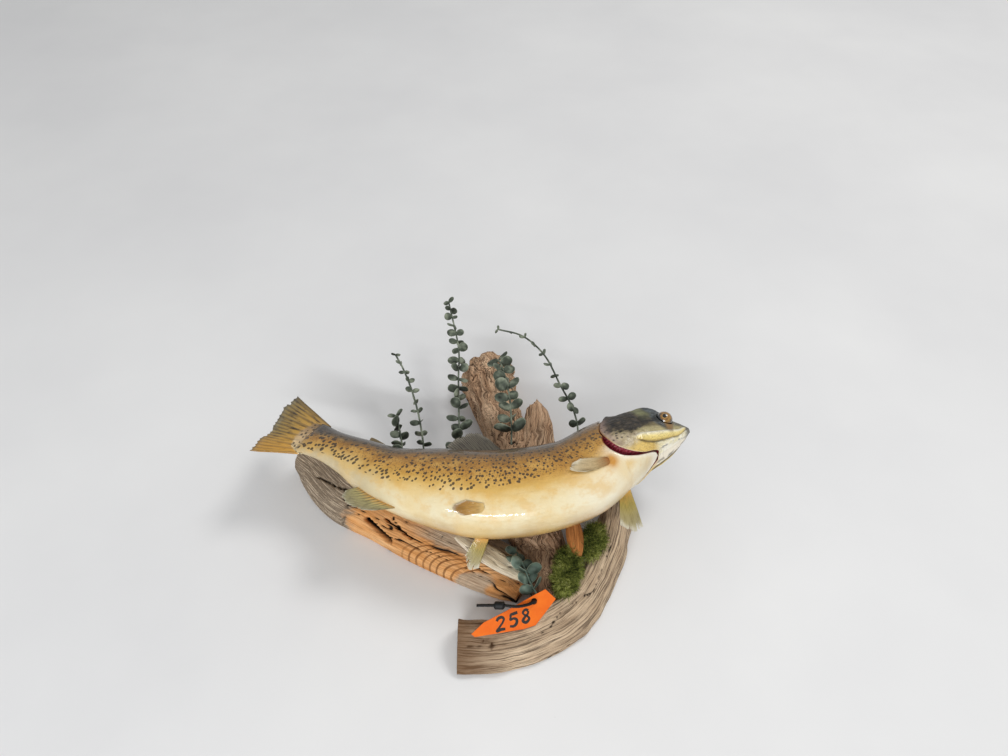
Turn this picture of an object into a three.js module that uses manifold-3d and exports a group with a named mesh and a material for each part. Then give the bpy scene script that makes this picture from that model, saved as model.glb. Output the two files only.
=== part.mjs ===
// A mounted brown trout, stuffed and varnished, lying on a piece of driftwood with sprigs of
// eucalyptus, two pads of moss and a numbered lot tag. Millimetres, +Z up. The fish lies on its left
// side with its head towards +X and its back towards +Y, so that its right flank faces up.
// The origin is on the flat underside of the plank, which stands on the table.
import * as THREE from "three";
import { mergeVertices } from "three/addons/utils/BufferGeometryUtils.js";
import Module from "manifold-3d";

const wasm = await Module();
wasm.setup();

// ---- Driving dimensions ----
const GAP = 0.35; // clear space kept between neighbours that touch
const FORK = 500; // from the snout to the fork of the tail fin, along the spine
const ROLL = degrees(13.5); // how far the back is turned down towards the table
const FIN_EDGE = 0.8; // thickness of a fin at its rim
const EYE = { at: 33, above: 1, radius: 8.4, sunk: 4.6 };
const JAW = { length: 54, line: 1, droop: 0.42 };
const LEAF = { thickness: 0.8, sides: 5, inset: 0.6 };
const STEM = { radius: 1.6, sides: 4 };
const TAG = { thickness: 0.8, hole: 3.3 };
const TIE = { width: 3.4, thickness: 1.6, head: [7, 6, 5] };
const UNDERCUT = 2.2; // how quickly a log's side runs down to its flat underside

// The line through the middle of the body: distance from the snout, then X, Y and Z.
const SPINE = [
  [0, 242.5, 97, 81], // snout
  [30, 215.5, 89, 84], // eye
  [76, 172.5, 73, 87], // gill cover
  [108, 144, 57, 88], // shoulder
  [156, 103, 28, 84],
  [227, 33, 16, 77], // dorsal fin
  [291, -30, 25, 75], // pelvic fins
  [346, -83, 38, 75], // vent
  [397, -128, 64, 76], // adipose fin
  [448, -173, 87, 78], // wrist of the tail
  [FORK, -220, 108, 77],
];

// The body's cross-sections: distance from the snout, height above the spine, depth below it,
// half-width of its upper part and of its lower part, and how round (1) or square (0.6) it is.
const GIRTH = [
  [0, 3, 4, 3, 3, 1],
  [4, 6.5, 7, 5, 6, 0.95],
  [14, 12, 14, 9, 14, 0.88],
  [22, 19, 18, 14, 19, 0.78],
  [32, 29, 22, 21.5, 24, 0.68],
  [46, 36, 27, 26, 28.5, 0.68],
  [60, 36.5, 32, 26.5, 32, 0.76],
  [80, 36.5, 41, 27.5, 36.5, 0.86],
  [100, 37.5, 47, 29.5, 37.5, 0.9],
  [125, 41, 51, 32, 36, 0.92],
  [150, 47, 53, 34, 35, 0.92],
  [190, 52, 56, 36, 36, 0.92],
  [225, 54, 58, 36.5, 36.5, 0.92],
  [260, 52, 56, 36, 36, 0.92],
  [300, 47, 48, 33, 33, 0.92],
  [340, 40, 38, 27, 27, 0.92],
  [370, 34, 31, 22, 22, 0.92],
  [400, 27, 25, 16, 16, 0.92],
  [425, 24, 23, 11, 11, 0.95],
  [450, 27, 27, 5, 5, 1],
  [456, 28, 28, 2.5, 2.5, 1],
];

// The rear edge of the gill covers: angle round the body from the back, distance from the snout.
const GILL_EDGE = [
  [0, 86],
  [40, 87],
  [56, 92],
  [74, 102],
  [92, 109],
  [114, 108.5],
  [130, 103],
  [142, 95],
  [152, 84],
  [161, 69],
  [172, 57],
  [180, 55],
];
const GILL_OPENING = { thin: 2, wide: 6.5, from: 76, depth: 0.86 };
// The upper lip's long bone: distance from the snout, then its upper and lower edges in degrees.
const MAXILLA = [
  [6, 100, 122],
  [22, 134, 150],
  [38, 133, 154],
  [57, 126, 148],
  [74, 120, 137],
  [84, 121, 128],
];
const SIDES = 24; // facets round the body
const SHOULDER = 0.93; // the trunk's size where it goes in under the gill covers
const VENT = 322; // where the trunk ends and the tail begins
const BODY_END = 455;

// ---- Helpers ----
function degrees(angle) {
  return (angle * Math.PI) / 180;
}

function mix(a, b, share) {
  return a + (b - a) * share;
}

// Reads a table of named stations as one smooth curve: the value in `column` at distance `at`.
function smooth(rows, at, column) {
  const last = rows.length - 1;
  let i = 0;
  while (i < last - 1 && rows[i + 1][0] <= at) i++;
  const slope = (k) => {
    const before = rows[Math.max(k - 1, 0)];
    const after = rows[Math.min(k + 1, last)];
    return (after[column] - before[column]) / (after[0] - before[0]);
  };
  const span = rows[i + 1][0] - rows[i][0];
  const t = THREE.MathUtils.clamp((at - rows[i][0]) / span, -0.3, 1.3);
  const rise = t * t * (3 - 2 * t);
  const level = mix(rows[i][column], rows[i + 1][column], rise);
  const leave = t * (1 - t) * (1 - t) * slope(i);
  const arrive = t * t * (t - 1) * slope(i + 1);
  return level + span * (leave + arrive);
}

// A geometry with each of its points moved to where `place` puts it.
function bent(geometry, place) {
  const points = geometry.getAttribute("position");
  for (let i = 0; i < points.count; i++) {
    const moved = place(points.getX(i), points.getY(i), points.getZ(i));
    points.setXYZ(i, moved.x, moved.y, moved.z);
  }
  return geometry;
}

// A closed geometry as a manifold-3d solid with its faces turned outwards.
function solid(geometry) {
  const bare = geometry.clone();
  bare.deleteAttribute("normal");
  bare.deleteAttribute("uv");
  const merged = mergeVertices(bare, 1e-3);
  const vertProperties = new Float32Array(merged.getAttribute("position").array);
  const build = (triVerts) =>
    new wasm.Manifold(new wasm.Mesh({ numProp: 3, vertProperties, triVerts }));
  const made = build(new Uint32Array(merged.index.array));
  return made.volume() > 0 ? made : build(new Uint32Array(merged.index.array).reverse());
}

function largest(body) {
  return body.decompose().reduce((a, b) => (b.volume() > a.volume() ? b : a));
}

// What is left of a body once everything in the list is cut away.
function clearOf(cutters, body) {
  return cutters.reduce((rest, cutter) => rest.subtract(cutter), body);
}

const model = new THREE.Group();

// Adds a solid to the model as one named mesh with its own finish.
function add(name, body, finish) {
  const mesh = largest(body).getMesh();
  const geometry = new THREE.BufferGeometry();
  geometry.setAttribute("position", new THREE.BufferAttribute(mesh.vertProperties, 3));
  geometry.setIndex(new THREE.BufferAttribute(mesh.triVerts, 1));
  geometry.computeVertexNormals();
  const made = new THREE.Mesh(geometry, new THREE.MeshStandardMaterial(finish));
  made.name = name;
  model.add(made);
}

const finish = (color, roughness) => ({ color, roughness, metalness: 0 });
const FINISH = {
  head: finish(0x5a5340, 0.3),
  jaw: finish(0xd9c9a0, 0.3),
  skin: finish(0xb39a5c, 0.25),
  gills: finish(0x6e1a20, 0.4),
  eye: finish(0xc8902c, 0.08),
  fin: finish(0xa08a4c, 0.35),
  dorsal: finish(0x77705c, 0.4),
  greyWood: finish(0x8a7663, 0.85),
  cutWood: finish(0xb07a45, 0.75),
  rootWood: finish(0x8c6a4c, 0.85),
  paleWood: finish(0xcbb797, 0.85),
  splinter: finish(0xc47a45, 0.75),
  leaf: finish(0x4c5c4e, 0.7),
  moss: finish(0x5c6b2a, 0.95),
  tag: finish(0xf26a1b, 0.6),
  tie: finish(0x151515, 0.5),
};

// ---- The fish's own directions ----
// At a distance from the snout: a point on the spine, and the ways to the head, back and right.
function spine(at) {
  const point = (a) => new THREE.Vector3(...[1, 2, 3].map((axis) => smooth(SPINE, a, axis)));
  const ahead = point(at - 2).sub(point(at + 2)).normalize();
  const level = new THREE.Vector3(0, 0, 1).cross(ahead).normalize();
  const upright = ahead.clone().cross(level);
  const back = level.multiplyScalar(Math.cos(ROLL)).addScaledVector(upright, -Math.sin(ROLL));
  return { point: point(at), back, right: ahead.clone().cross(back) };
}

// A point by its distance from the snout, height towards the back and offset to the right.
function inFish(at, above, aside) {
  const { point, back, right } = spine(at);
  return point.addScaledVector(back, above).addScaledVector(right, aside);
}

// A point of the body's surface, at an angle round the body from the back over the right flank.
// `reach` scales it towards the spine, and `grown` moves it out by so many millimetres.
function onBody(at, angle, reach = 1, grown = 0) {
  const c = Math.cos(angle);
  const s = Math.sin(angle);
  const tall = smooth(GIRTH, at, c > 0 ? 1 : 2);
  const wide = mix(smooth(GIRTH, at, 3), smooth(GIRTH, at, 4), (1 - c) / 2);
  const square = smooth(GIRTH, at, 5);
  const above = (tall * reach + grown) * Math.sign(c) * Math.abs(c) ** square;
  const aside = (wide * reach + grown) * Math.sign(s) * Math.abs(s) ** square;
  return inFish(at, above, aside);
}

// An angle round the body in degrees from the back, the same on both sides.
function fromBack(angle) {
  const turned = ((angle * 180) / Math.PI + 540) % 360;
  return Math.abs(turned - 180);
}

// The distance of the gill covers' rear edge at an angle round the body.
function gillEdge(angle) {
  return smooth(GILL_EDGE, fromBack(angle), 1);
}

// Where the trunk begins there: the gill opening gapes on the flanks and the throat.
function shoulderEdge(angle) {
  const open = Math.max(0, (fromBack(angle) - GILL_OPENING.from) / (180 - GILL_OPENING.from));
  const gape = GILL_OPENING.wide * Math.sin(Math.PI * open ** 0.8) ** 0.7;
  return gillEdge(angle) + GILL_OPENING.thin + gape;
}

// A length of body between two edges, each a distance that can change with the angle.
function bodyLength(from, to, rings, sides, reach = () => 1, grown = 0) {
  const tube = new THREE.CylinderGeometry(1, 1, 1, sides, rings);
  const middle = { from: mean(from), to: mean(to) };
  return solid(
    bent(tube, (x, y, z) => {
      const share = 0.5 - y;
      if (Math.hypot(x, z) < 0.5) return inFish(mix(middle.from, middle.to, share), 0, 0);
      const step = Math.round((Math.atan2(x, z) / (2 * Math.PI)) * sides);
      const angle = ((((step % sides) + sides) % sides) / sides) * 2 * Math.PI;
      const at = mix(from(angle), to(angle), share);
      return onBody(at, angle, reach(share), grown);
    }),
  );
}

function mean(edge) {
  return (edge(degrees(40)) + edge(degrees(150))) / 2;
}

// A curved block inside or around the body, cut to a range of distance, angle and reach.
function bodyBlock(steps, place) {
  const box = new THREE.BoxGeometry(1, 1, 1, ...steps);
  return solid(bent(box, (x, y, z) => place(x + 0.5, y + 0.5, z + 0.5)));
}

// ---- Head, jaw, gill covers, gills and eyes ----
const MIRRORED = [
  ["right", 1],
  ["left", -1],
];

function jawBlock(spare) {
  const top = (at) => -JAW.line - JAW.droop * at + spare;
  return bodyBlock([1, 4, 1], (x, y, z) => {
    const at = mix(-6, JAW.length + spare, y);
    return inFish(at, mix(-80, top(at), z), mix(-60, 60, x));
  });
}

function coverBlock(side, spare) {
  const [first, last] = [52, 166];
  return bodyBlock([6, 3, 1], (x, y, z) => {
    const angle = degrees(mix(first - spare, last + spare, x));
    const edge = gillEdge(angle);
    const at = mix(28 + edge / 3 - spare, edge + 4, y);
    return onBody(at, side * angle, mix(0.88, 1.25, z), z < 0.5 ? -spare : spare);
  });
}

function maxilla(side, spare) {
  return bodyBlock([1, 6, 1], (x, y, z) => {
    const at = mix(6 - spare, 84 + spare, y);
    const room = (1.3 * spare) / smooth(GIRTH, at, 2);
    const upper = degrees(smooth(MAXILLA, at, 1)) - room;
    const lower = degrees(smooth(MAXILLA, at, 2)) + room;
    const angle = mix(upper, lower, x);
    return onBody(at, side * angle, mix(0.9, 1, z), z < 0.5 ? -spare : 1 + spare);
  });
}

function eyeball(side, spare) {
  const { point, back, right } = spine(EYE.at);
  const wide = mix(smooth(GIRTH, EYE.at, 3), smooth(GIRTH, EYE.at, 4), 0.4);
  const centre = point
    .addScaledVector(back, EYE.above)
    .addScaledVector(right, side * (wide - EYE.sunk));
  const ball = new THREE.SphereGeometry(EYE.radius + spare, 12, 7);
  ball.translate(...centre.toArray());
  return solid(ball);
}

function makeHead() {
  let skull = bodyLength(() => 0, gillEdge, 10, SIDES);
  const jaw = skull.intersect(jawBlock(-GAP / 2));
  skull = skull.subtract(jawBlock(GAP / 2));
  let chin = jaw;
  for (const [name, side] of MIRRORED) {
    add("eye_" + name, eyeball(side, 0), FINISH.eye);
    const lip = maxilla(side, 0).subtract(eyeball(side, GAP));
    add("maxilla_" + name, lip, FINISH.jaw);
    const cover = skull.intersect(coverBlock(side, 0)).subtract(maxilla(side, GAP));
    add("gill_cover_" + name, cover.subtract(eyeball(side, GAP)), FINISH.jaw);
    skull = skull.subtract(coverBlock(side, GAP));
    skull = skull.subtract(maxilla(side, GAP)).subtract(eyeball(side, GAP));
    chin = chin.subtract(maxilla(side, GAP));
  }
  add("head", skull, FINISH.head);
  add("lower_jaw", chin, FINISH.jaw);
  const { depth } = GILL_OPENING;
  const behind = (angle) => mix(mean(gillEdge), gillEdge(angle), depth);
  const before = (angle) => mix(mean(shoulderEdge), shoulderEdge(angle), depth);
  const gills = bodyLength(behind, before, 1, SIDES, () => depth)
    .subtract(bodyLength(() => 0, (angle) => gillEdge(angle) + GAP, 10, SIDES))
    .subtract(trunkSpace(GAP));
  add("gills", gills, FINISH.gills);
}

// ---- Trunk and tail ----
function trunkSpace(spare) {
  const tucked = (share) => mix(1, SHOULDER, Math.max(0, 1 - 8 * share));
  const front = (angle) => shoulderEdge(angle) - spare;
  return bodyLength(front, () => VENT, 12, SIDES, tucked);
}

function makeTrunk() {
  add("trunk", trunkSpace(0), FINISH.skin);
  const tail = bodyLength(() => VENT + GAP, () => BODY_END, 8, SIDES);
  add("tail", tail, FINISH.skin);
}

// The whole fish, a little larger, for cutting what touches it.
function fishSpace(spare) {
  return bodyLength(() => -spare, () => BODY_END + spare, 32, SIDES, () => 1, spare);
}

// ---- Fins ----
// A fin between its first and last ray. Each ray runs from its root to its tip, and both are given
// as [distance from the snout, height towards the back, offset to the right].
const FINS = {
  dorsal_fin: {
    rays: [
      [[208, 50, 0], [230, 72, 4]],
      [[224, 50, 0], [270, 88, 9]],
      [[248, 50, 0], [287, 80, 8]],
      [[270, 47, 0], [300, 63, 4]],
    ],
    steps: [7, 2],
    look: "dorsal",
  },
  adipose_fin: {
    rays: [
      [[364, 33, 0], [378, 38, 0]],
      [[373, 31, 0], [397, 39, 0]],
      [[381, 29, 0], [398, 34, 0]],
    ],
    steps: [4, 2],
    look: "dorsal",
  },
  anal_fin: {
    rays: [
      [[324, -40, 0], [340, -53, 1]],
      [[336, -37, 0], [352, -58, 1]],
      [[350, -33, 0], [366, -54, 0]],
      [[362, -30, 0], [370, -44, 0]],
    ],
    steps: [6, 2],
    look: "fin",
  },
  caudal_fin: {
    rays: [
      [[444, 27, 0], [512, 56, 0]],
      [[452, 20, 0], [513, 33, 0]],
      [[456, 7, 0], [504, 8, 0]],
      [[456, -7, 0], [499.5, -12, 0]],
      [[452, -20, 0], [499, -30, 0]],
      [[444, -27, 0], [496, -49, 0]],
    ],
    steps: [10, 3],
    look: "fin",
  },
  pelvic_fin_right: {
    rays: [
      [[234, -36, 24], [257, -43, 35]],
      [[235, -43, 20], [265, -52, 30]],
      [[236, -49, 14], [262, -61, 22]],
    ],
    steps: [4, 2],
    look: "fin",
  },
  pelvic_fin_left: {
    rays: [
      [[234, -50, -16], [240, -66, -34]],
      [[241, -46, -20], [248, -60, -42]],
      [[248, -42, -23], [256, -47, -38]],
    ],
    steps: [4, 2],
    look: "fin",
  },
  pectoral_fin_right: {
    rays: [
      [[119, -27, 23], [147, -17, 38]],
      [[120, -34, 20], [155, -26, 40]],
      [[121, -41, 16], [149, -36, 36]],
    ],
    steps: [4, 2],
    look: "fin",
  },
  pectoral_fin_left: {
    rays: [
      [[112, -44, -14], [129, -75, -38]],
      [[116, -40, -18], [135, -70, -43]],
      [[120, -35, -22], [138, -54, -42]],
    ],
    steps: [4, 2],
    look: "fin",
  },
};

// The ray at a share of the way along the fin, root or tip, read smoothly between the given ones.
function alongRays(rays, share, end) {
  const table = rays.map((ray, i) => [i / (rays.length - 1), ...ray[end]]);
  return inFish(...[1, 2, 3].map((column) => smooth(table, share, column)));
}

function finBlade({ rays, steps }) {
  const point = (share, out) =>
    alongRays(rays, share, 0).lerp(alongRays(rays, share, 1), out);
  const face = (share, out) => {
    const along = point(share + 0.02, out).sub(point(share - 0.02, out));
    const outwards = point(share, out + 0.02).sub(point(share, out - 0.02));
    return along.cross(outwards).normalize();
  };
  return bodyBlock([steps[0], steps[1], 1], (x, y, z) => {
    const out = y;
    const thick = mix(2.4, FIN_EDGE, Math.min(1, out * 1.3));
    return point(x, out).addScaledVector(face(x, out), (z - 0.5) * thick);
  });
}

function makeFins() {
  const body = fishSpace(GAP);
  for (const [name, fin] of Object.entries(FINS))
    add(name, finBlade(fin).subtract(body), FINISH[fin.look]);
}

// ---- Driftwood ----
// Each log runs through stations: X, Y, half its width, then the height of its left and of its
// right edge, seen along its run. Its underside is flat on the table.
const LOGS = {
  plank: {
    stations: [
      [-197, 108, 17, 38, 32],
      [-174, 88, 27, 42, 33],
      [-141, 55, 30, 42, 30],
      [-97, 30, 29, 41, 26],
      [-52, 4, 30, 41, 25],
      [3, -24, 29, 40, 24],
      [43, -43, 26, 37, 23],
      [60, -54, 19, 30, 20],
    ],
    foot: 0.3,
    look: "cutWood",
  },
  branch: {
    stations: [
      [-8, -119.5, 24.5, 36, 9],
      [26, -120, 23.5, 37, 12],
      [61, -113, 22, 37, 14],
      [92, -99, 21, 38, 16],
      [116, -79, 19, 38, 18],
      [136, -48, 18.5, 38, 20],
      [151, -13, 18.5, 38, 22],
      [161, 20, 18, 37, 24],
      [166, 43, 14, 32, 24],
    ],
    foot: 0.25,
    look: "greyWood",
  },
  root: {
    stations: [
      [9, 256, 24, 42, 44],
      [16, 239, 36, 48, 50],
      [22, 212, 33, 46, 50],
      [30, 178, 28, 44, 47],
      [42, 135, 24, 42, 44],
      [49, 95, 24, 39, 40],
      [55, 55, 26, 38, 38],
      [65, 10, 24, 38, 38],
      [75, -30, 20, 38, 40],
      [80, -66, 14, 36, 38],
      [82, -85, 9, 30, 32],
    ],
    foot: 0.35,
    look: "rootWood",
  },
  stub: {
    stations: [
      [77, 184, 7, 42, 40],
      [78, 172, 17, 44, 44],
      [77, 150, 23, 42, 43],
      [75, 122, 24, 38, 40],
      [72, 92, 20, 36, 37],
    ],
    foot: 0.4,
    look: "rootWood",
  },
};

function logBody({ stations, foot }, spare) {
  const last = stations.length - 1;
  const table = stations.map((row, i) => [i, ...row]);
  const tube = new THREE.CylinderGeometry(1, 1, 1, 12, last + 2);
  const read = (along, column) => smooth(table, along, column);
  return solid(
    bent(tube, (x, y, z) => {
      const along = mix(0, last, 0.5 - y);
      const here = new THREE.Vector3(read(along, 1), read(along, 2), 0);
      const ahead = new THREE.Vector3(
        read(along + 0.1, 1) - read(along - 0.1, 1),
        read(along + 0.1, 2) - read(along - 0.1, 2),
        0,
      ).normalize();
      const left = new THREE.Vector3(-ahead.y, ahead.x, 0);
      const half = read(along, 3) + spare;
      const across = Math.sign(x) * Math.abs(x) ** 0.75;
      const top = mix(read(along, 5), read(along, 4), (across + 1) / 2) + spare;
      const low = top * foot;
      const rise = z > 0 ? mix(low, top, z ** 0.7) : Math.max(0, low * (1 + UNDERCUT * z));
      const ends = (0.5 - y === 0 ? -spare : 0) + (0.5 - y === 1 ? spare : 0);
      here.addScaledVector(left, across * half).addScaledVector(ahead, ends);
      here.z = Math.hypot(x, z) < 0.5 ? top * 0.45 : rise;
      return here;
    }),
  );
}

// A splinter or strip of wood lying from one point to another, pointed at both ends.
const STRIPS = {
  pale_strip: { from: [-18, -8, 41], to: [52, -46, 38], half: 7, thick: 9, look: "paleWood" },
  orange_splinter: { from: [88, 4, 42], to: [95, -48, 40], half: 6.5, thick: 9, look: "splinter" },
};

function strip({ from, to, half, thick }) {
  const start = new THREE.Vector3(...from);
  const end = new THREE.Vector3(...to);
  const ahead = end.clone().sub(start).normalize();
  const across = new THREE.Vector3(0, 0, 1).cross(ahead).normalize();
  return bodyBlock([2, 6, 1], (x, y, z) => {
    const full = Math.sin(Math.PI * mix(0.08, 0.92, y)) ** 0.6;
    const point = start.clone().lerp(end, y);
    point.addScaledVector(across, (x - 0.5) * 2 * half * full);
    point.z += (z - 0.5) * thick * full * (1 - 0.5 * Math.abs(2 * x - 1) ** 2);
    return point;
  });
}

function makeWood(taken) {
  for (const [name, log] of Object.entries(LOGS)) {
    add(name, clearOf(taken, logBody(log, 0)), FINISH[log.look]);
    taken.push(logBody(log, GAP));
  }
  for (const [name, piece] of Object.entries(STRIPS)) {
    add(name, clearOf(taken, strip(piece)), FINISH[piece.look]);
    taken.push(strip({ ...piece, half: piece.half + GAP, thick: piece.thick + 2 * GAP }));
  }
}

// ---- Moss ----
const MOSS = {
  moss_left: { centre: [102, -52, 36], size: [15, 33, 15], turn: degrees(-14) },
  moss_right: { centre: [127, -21, 40], size: [13, 26, 11], turn: degrees(-22) },
};

function makeMoss(taken) {
  for (const [name, { centre, size, turn }] of Object.entries(MOSS)) {
    const pad = (spare) => {
      const ball = new THREE.SphereGeometry(1, 9, 6).scale(...size.map((half) => half + spare));
      return solid(ball.rotateZ(turn).translate(...centre));
    };
    add(name, clearOf(taken, pad(0)), FINISH.moss);
    taken.push(pad(GAP));
  }
}

// ---- Sprigs of eucalyptus ----
// A stem runs through its points from the foot to the tip, with pairs of round leaves along it.
// `leaf` is the radius of the leaves at the foot and at the tip, and `bare` how much has none.
const SPRIGS = {
  sprig_tail: {
    stem: [[-84, 62, 33], [-79, 82, 44], [-80, 104, 53], [-88, 136, 58]],
    pairs: 4,
    leaf: [10, 8.5],
    bare: 0.35,
  },
  sprig_left: {
    stem: [
      [-66, 46, 33], [-54, 82, 46], [-60, 128, 53], [-72, 172, 58], [-86, 208, 62],
      [-98, 232, 64],
    ],
    pairs: 8,
    leaf: [10, 5.5],
    bare: 0.22,
  },
  sprig_tall: {
    stem: [
      [8, 58, 27], [-10, 86, 48], [-15, 133, 56], [-18, 193, 61], [-20, 245, 65],
      [-37, 331, 68],
    ],
    pairs: 12,
    leaf: [11, 5.5],
    bare: 0.16,
  },
  sprig_root: {
    stem: [[46, 101, 50], [46, 122, 62], [44, 156, 70], [36, 200, 72], [30, 224, 64]],
    pairs: 7,
    leaf: [11, 9.5],
    bare: 0.12,
  },
  sprig_head: {
    stem: [
      [104, 97, 34], [122, 112, 50], [120, 146, 56], [105, 184, 62], [88, 229, 66],
      [62, 261, 68], [30, 272, 70],
    ],
    pairs: 9,
    leaf: [8, 3.5],
    bare: 0.2,
  },
  sprig_belly: {
    stem: [[70, -80, 37], [64, -64, 43], [62, -48, 49], [60, -32, 45]],
    pairs: 4,
    leaf: [9.5, 8],
    bare: 0.12,
  },
};

function leafBlade(centre, facing, radius, tilt) {
  const disc = new THREE.CylinderGeometry(radius, radius, LEAF.thickness, LEAF.sides);
  const turn = new THREE.Quaternion().setFromUnitVectors(new THREE.Vector3(0, 1, 0), facing);
  disc.rotateY(tilt).applyQuaternion(turn).translate(...centre.toArray());
  return solid(disc);
}

function sprig({ stem, pairs, leaf, bare }) {
  const path = new THREE.CatmullRomCurve3(stem.map((point) => new THREE.Vector3(...point)));
  const ring = new THREE.EllipseCurve(0, 0, STEM.radius, STEM.radius).getPoints(STEM.sides);
  const section = new THREE.Shape(ring.slice(0, STEM.sides));
  const steps = stem.length + 2;
  let body = solid(new THREE.ExtrudeGeometry(section, { extrudePath: path, steps }));
  for (let i = 0; i < pairs; i++) {
    const share = mix(bare, 0.985, i / (pairs - 1));
    const radius = mix(leaf[0], leaf[1], share) * (1 + 0.14 * Math.sin(5 * i + pairs));
    const ahead = path.getTangentAt(share);
    const up = new THREE.Vector3(0, 0, 1).addScaledVector(ahead, -ahead.z).normalize();
    const aside = ahead.clone().cross(up);
    const turn = i % 2 ? 0.9 : 0.15;
    for (const side of [-1, 1]) {
      const outwards = aside.clone().multiplyScalar(side * Math.cos(turn));
      outwards.addScaledVector(up, side * Math.sin(turn));
      const facing = up.clone().multiplyScalar(Math.cos(turn));
      facing.addScaledVector(aside, -Math.sin(turn)).addScaledVector(ahead, 0.35).normalize();
      const centre = path.getPointAt(share).addScaledVector(outwards, radius + LEAF.inset);
      body = body.add(leafBlade(centre, facing, radius, i));
    }
  }
  return body;
}

function makeSprigs(taken) {
  for (const [name, plan] of Object.entries(SPRIGS)) {
    add(name, clearOf(taken, sprig(plan)), FINISH.leaf);
  }
}

// ---- Lot tag and its tie ----
// The card's outline in its own plane, along its length and up its face, with its hole.
const CARD = {
  middle: [46, -101, 41],
  along: [0.909, 0.404, 0.101],
  up: [-0.367, 0.662, 0.654],
  outline: [
    [-44, 0], [-42, -4], [5, -17.5], [17, -19], [45, -4], [39, 9], [27, 8.5], [-5, 6],
    [-29, 5],
  ],
  hole: [24, 3],
};
const TIE_PATH = [
  [11, -94, 46], [36, -95.5, 49], [50, -97, 49.5], [61, -95, 50], [66.5, -91.5, 49],
  [66.7, -89, 45], [66.5, -86, 40.5], [70, -82, 35],
];
const TIE_HEAD = [36, -95.5, 49];

function makeTag(taken) {
  const outline = new THREE.Shape(CARD.outline.map(([x, y]) => new THREE.Vector2(x, y)));
  outline.holes.push(new THREE.Path().absellipse(...CARD.hole, TAG.hole, TAG.hole, 0, 2 * Math.PI));
  const card = new THREE.ExtrudeGeometry(outline, {
    depth: TAG.thickness,
    bevelEnabled: false,
    curveSegments: 5,
  });
  const along = new THREE.Vector3(...CARD.along).normalize();
  const face = along.clone().cross(new THREE.Vector3(...CARD.up)).normalize();
  const place = new THREE.Matrix4().makeBasis(along, face.clone().cross(along), face);
  card.applyMatrix4(place.setPosition(...CARD.middle));
  add("lot_tag", clearOf(taken, solid(card)), FINISH.tag);
}

function makeTie(taken) {
  const path = new THREE.CatmullRomCurve3(TIE_PATH.map((point) => new THREE.Vector3(...point)));
  const [wide, thick] = [TIE.thickness / 2, TIE.width / 2];
  const corners = [[-wide, -thick], [wide, -thick], [wide, thick], [-wide, thick]];
  const section = new THREE.Shape(corners.map(([x, y]) => new THREE.Vector2(x, y)));
  const strap = solid(new THREE.ExtrudeGeometry(section, { extrudePath: path, steps: 14 }));
  const head = solid(new THREE.BoxGeometry(...TIE.head).translate(...TIE_HEAD));
  add("tag_tie", clearOf(taken, strap.add(head)), FINISH.tie);
}

makeHead();
makeTrunk();
makeFins();
const taken = [fishSpace(GAP)];
makeWood(taken);
makeMoss(taken);
makeSprigs(taken);
makeTag(taken);
makeTie(taken);

export default model;
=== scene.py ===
# %% [markdown]
# # A mounted brown trout
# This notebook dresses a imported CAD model: a varnished trout on a driftwood base, with dried
# eucalyptus, moss and a card tag. The CAD model gives the places and the main sizes. Here each piece
# gets the surface that the real one shows, and the fish gets one continuous skin.

import math

import bmesh
import bpy
import numpy as np
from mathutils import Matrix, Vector


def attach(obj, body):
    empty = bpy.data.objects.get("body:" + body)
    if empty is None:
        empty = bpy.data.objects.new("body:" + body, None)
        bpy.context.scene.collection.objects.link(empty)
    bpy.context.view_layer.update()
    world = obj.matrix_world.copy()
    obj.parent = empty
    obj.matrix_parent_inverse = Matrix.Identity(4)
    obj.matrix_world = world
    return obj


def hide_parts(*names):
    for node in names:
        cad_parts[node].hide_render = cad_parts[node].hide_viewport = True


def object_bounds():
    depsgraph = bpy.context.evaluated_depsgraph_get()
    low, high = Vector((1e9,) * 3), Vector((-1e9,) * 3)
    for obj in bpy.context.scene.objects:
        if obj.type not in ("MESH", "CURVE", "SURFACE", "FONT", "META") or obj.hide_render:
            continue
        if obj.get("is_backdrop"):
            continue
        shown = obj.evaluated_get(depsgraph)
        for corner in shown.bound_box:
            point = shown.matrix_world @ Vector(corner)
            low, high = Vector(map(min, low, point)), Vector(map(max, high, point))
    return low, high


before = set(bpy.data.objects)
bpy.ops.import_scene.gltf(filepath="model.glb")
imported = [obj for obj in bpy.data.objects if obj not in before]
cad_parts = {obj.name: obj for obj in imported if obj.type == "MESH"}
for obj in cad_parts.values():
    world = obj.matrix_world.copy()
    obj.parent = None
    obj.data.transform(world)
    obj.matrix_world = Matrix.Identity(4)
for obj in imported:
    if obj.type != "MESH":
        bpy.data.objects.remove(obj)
cad_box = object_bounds()
MM = 0.001
print("CAD box", [tuple(round(v, 3) for v in corner) for corner in cad_box])

# %% [markdown]
# ## Small tools
# A mounted fish is described by tables: so far from the snout, so tall, so wide. One function reads
# such a table as a smooth curve, and another makes a repeatable random field for anything that is
# uneven. They work on whole arrays, so a surface of a hundred thousand points takes no loop.


# %% Tables, blends and a random field
def mix(a, b, share):
    return a + (b - a) * share


def step(low, high, value):
    """0 below `low`, 1 above `high`, and smooth between them."""
    t = np.clip((np.asarray(value, float) - low) / (high - low), 0, 1)
    return t * t * (3 - 2 * t)


def bump(value, centre, width):
    """A soft hill of height 1 around `centre`."""
    return np.exp(-(((np.asarray(value, float) - centre) / width) ** 2))


def swell(value, power):
    """A power that keeps the sign. Below 1 it makes a round section squarer."""
    return np.sign(value) * np.abs(value) ** power


def circle(count):
    """Angles of so many even steps round a circle."""
    return np.arange(count) / count * 2 * np.pi


def stacked(*columns):
    """Points from their coordinates, each an array or one number."""
    return np.stack(np.broadcast_arrays(*columns), -1)


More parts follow.
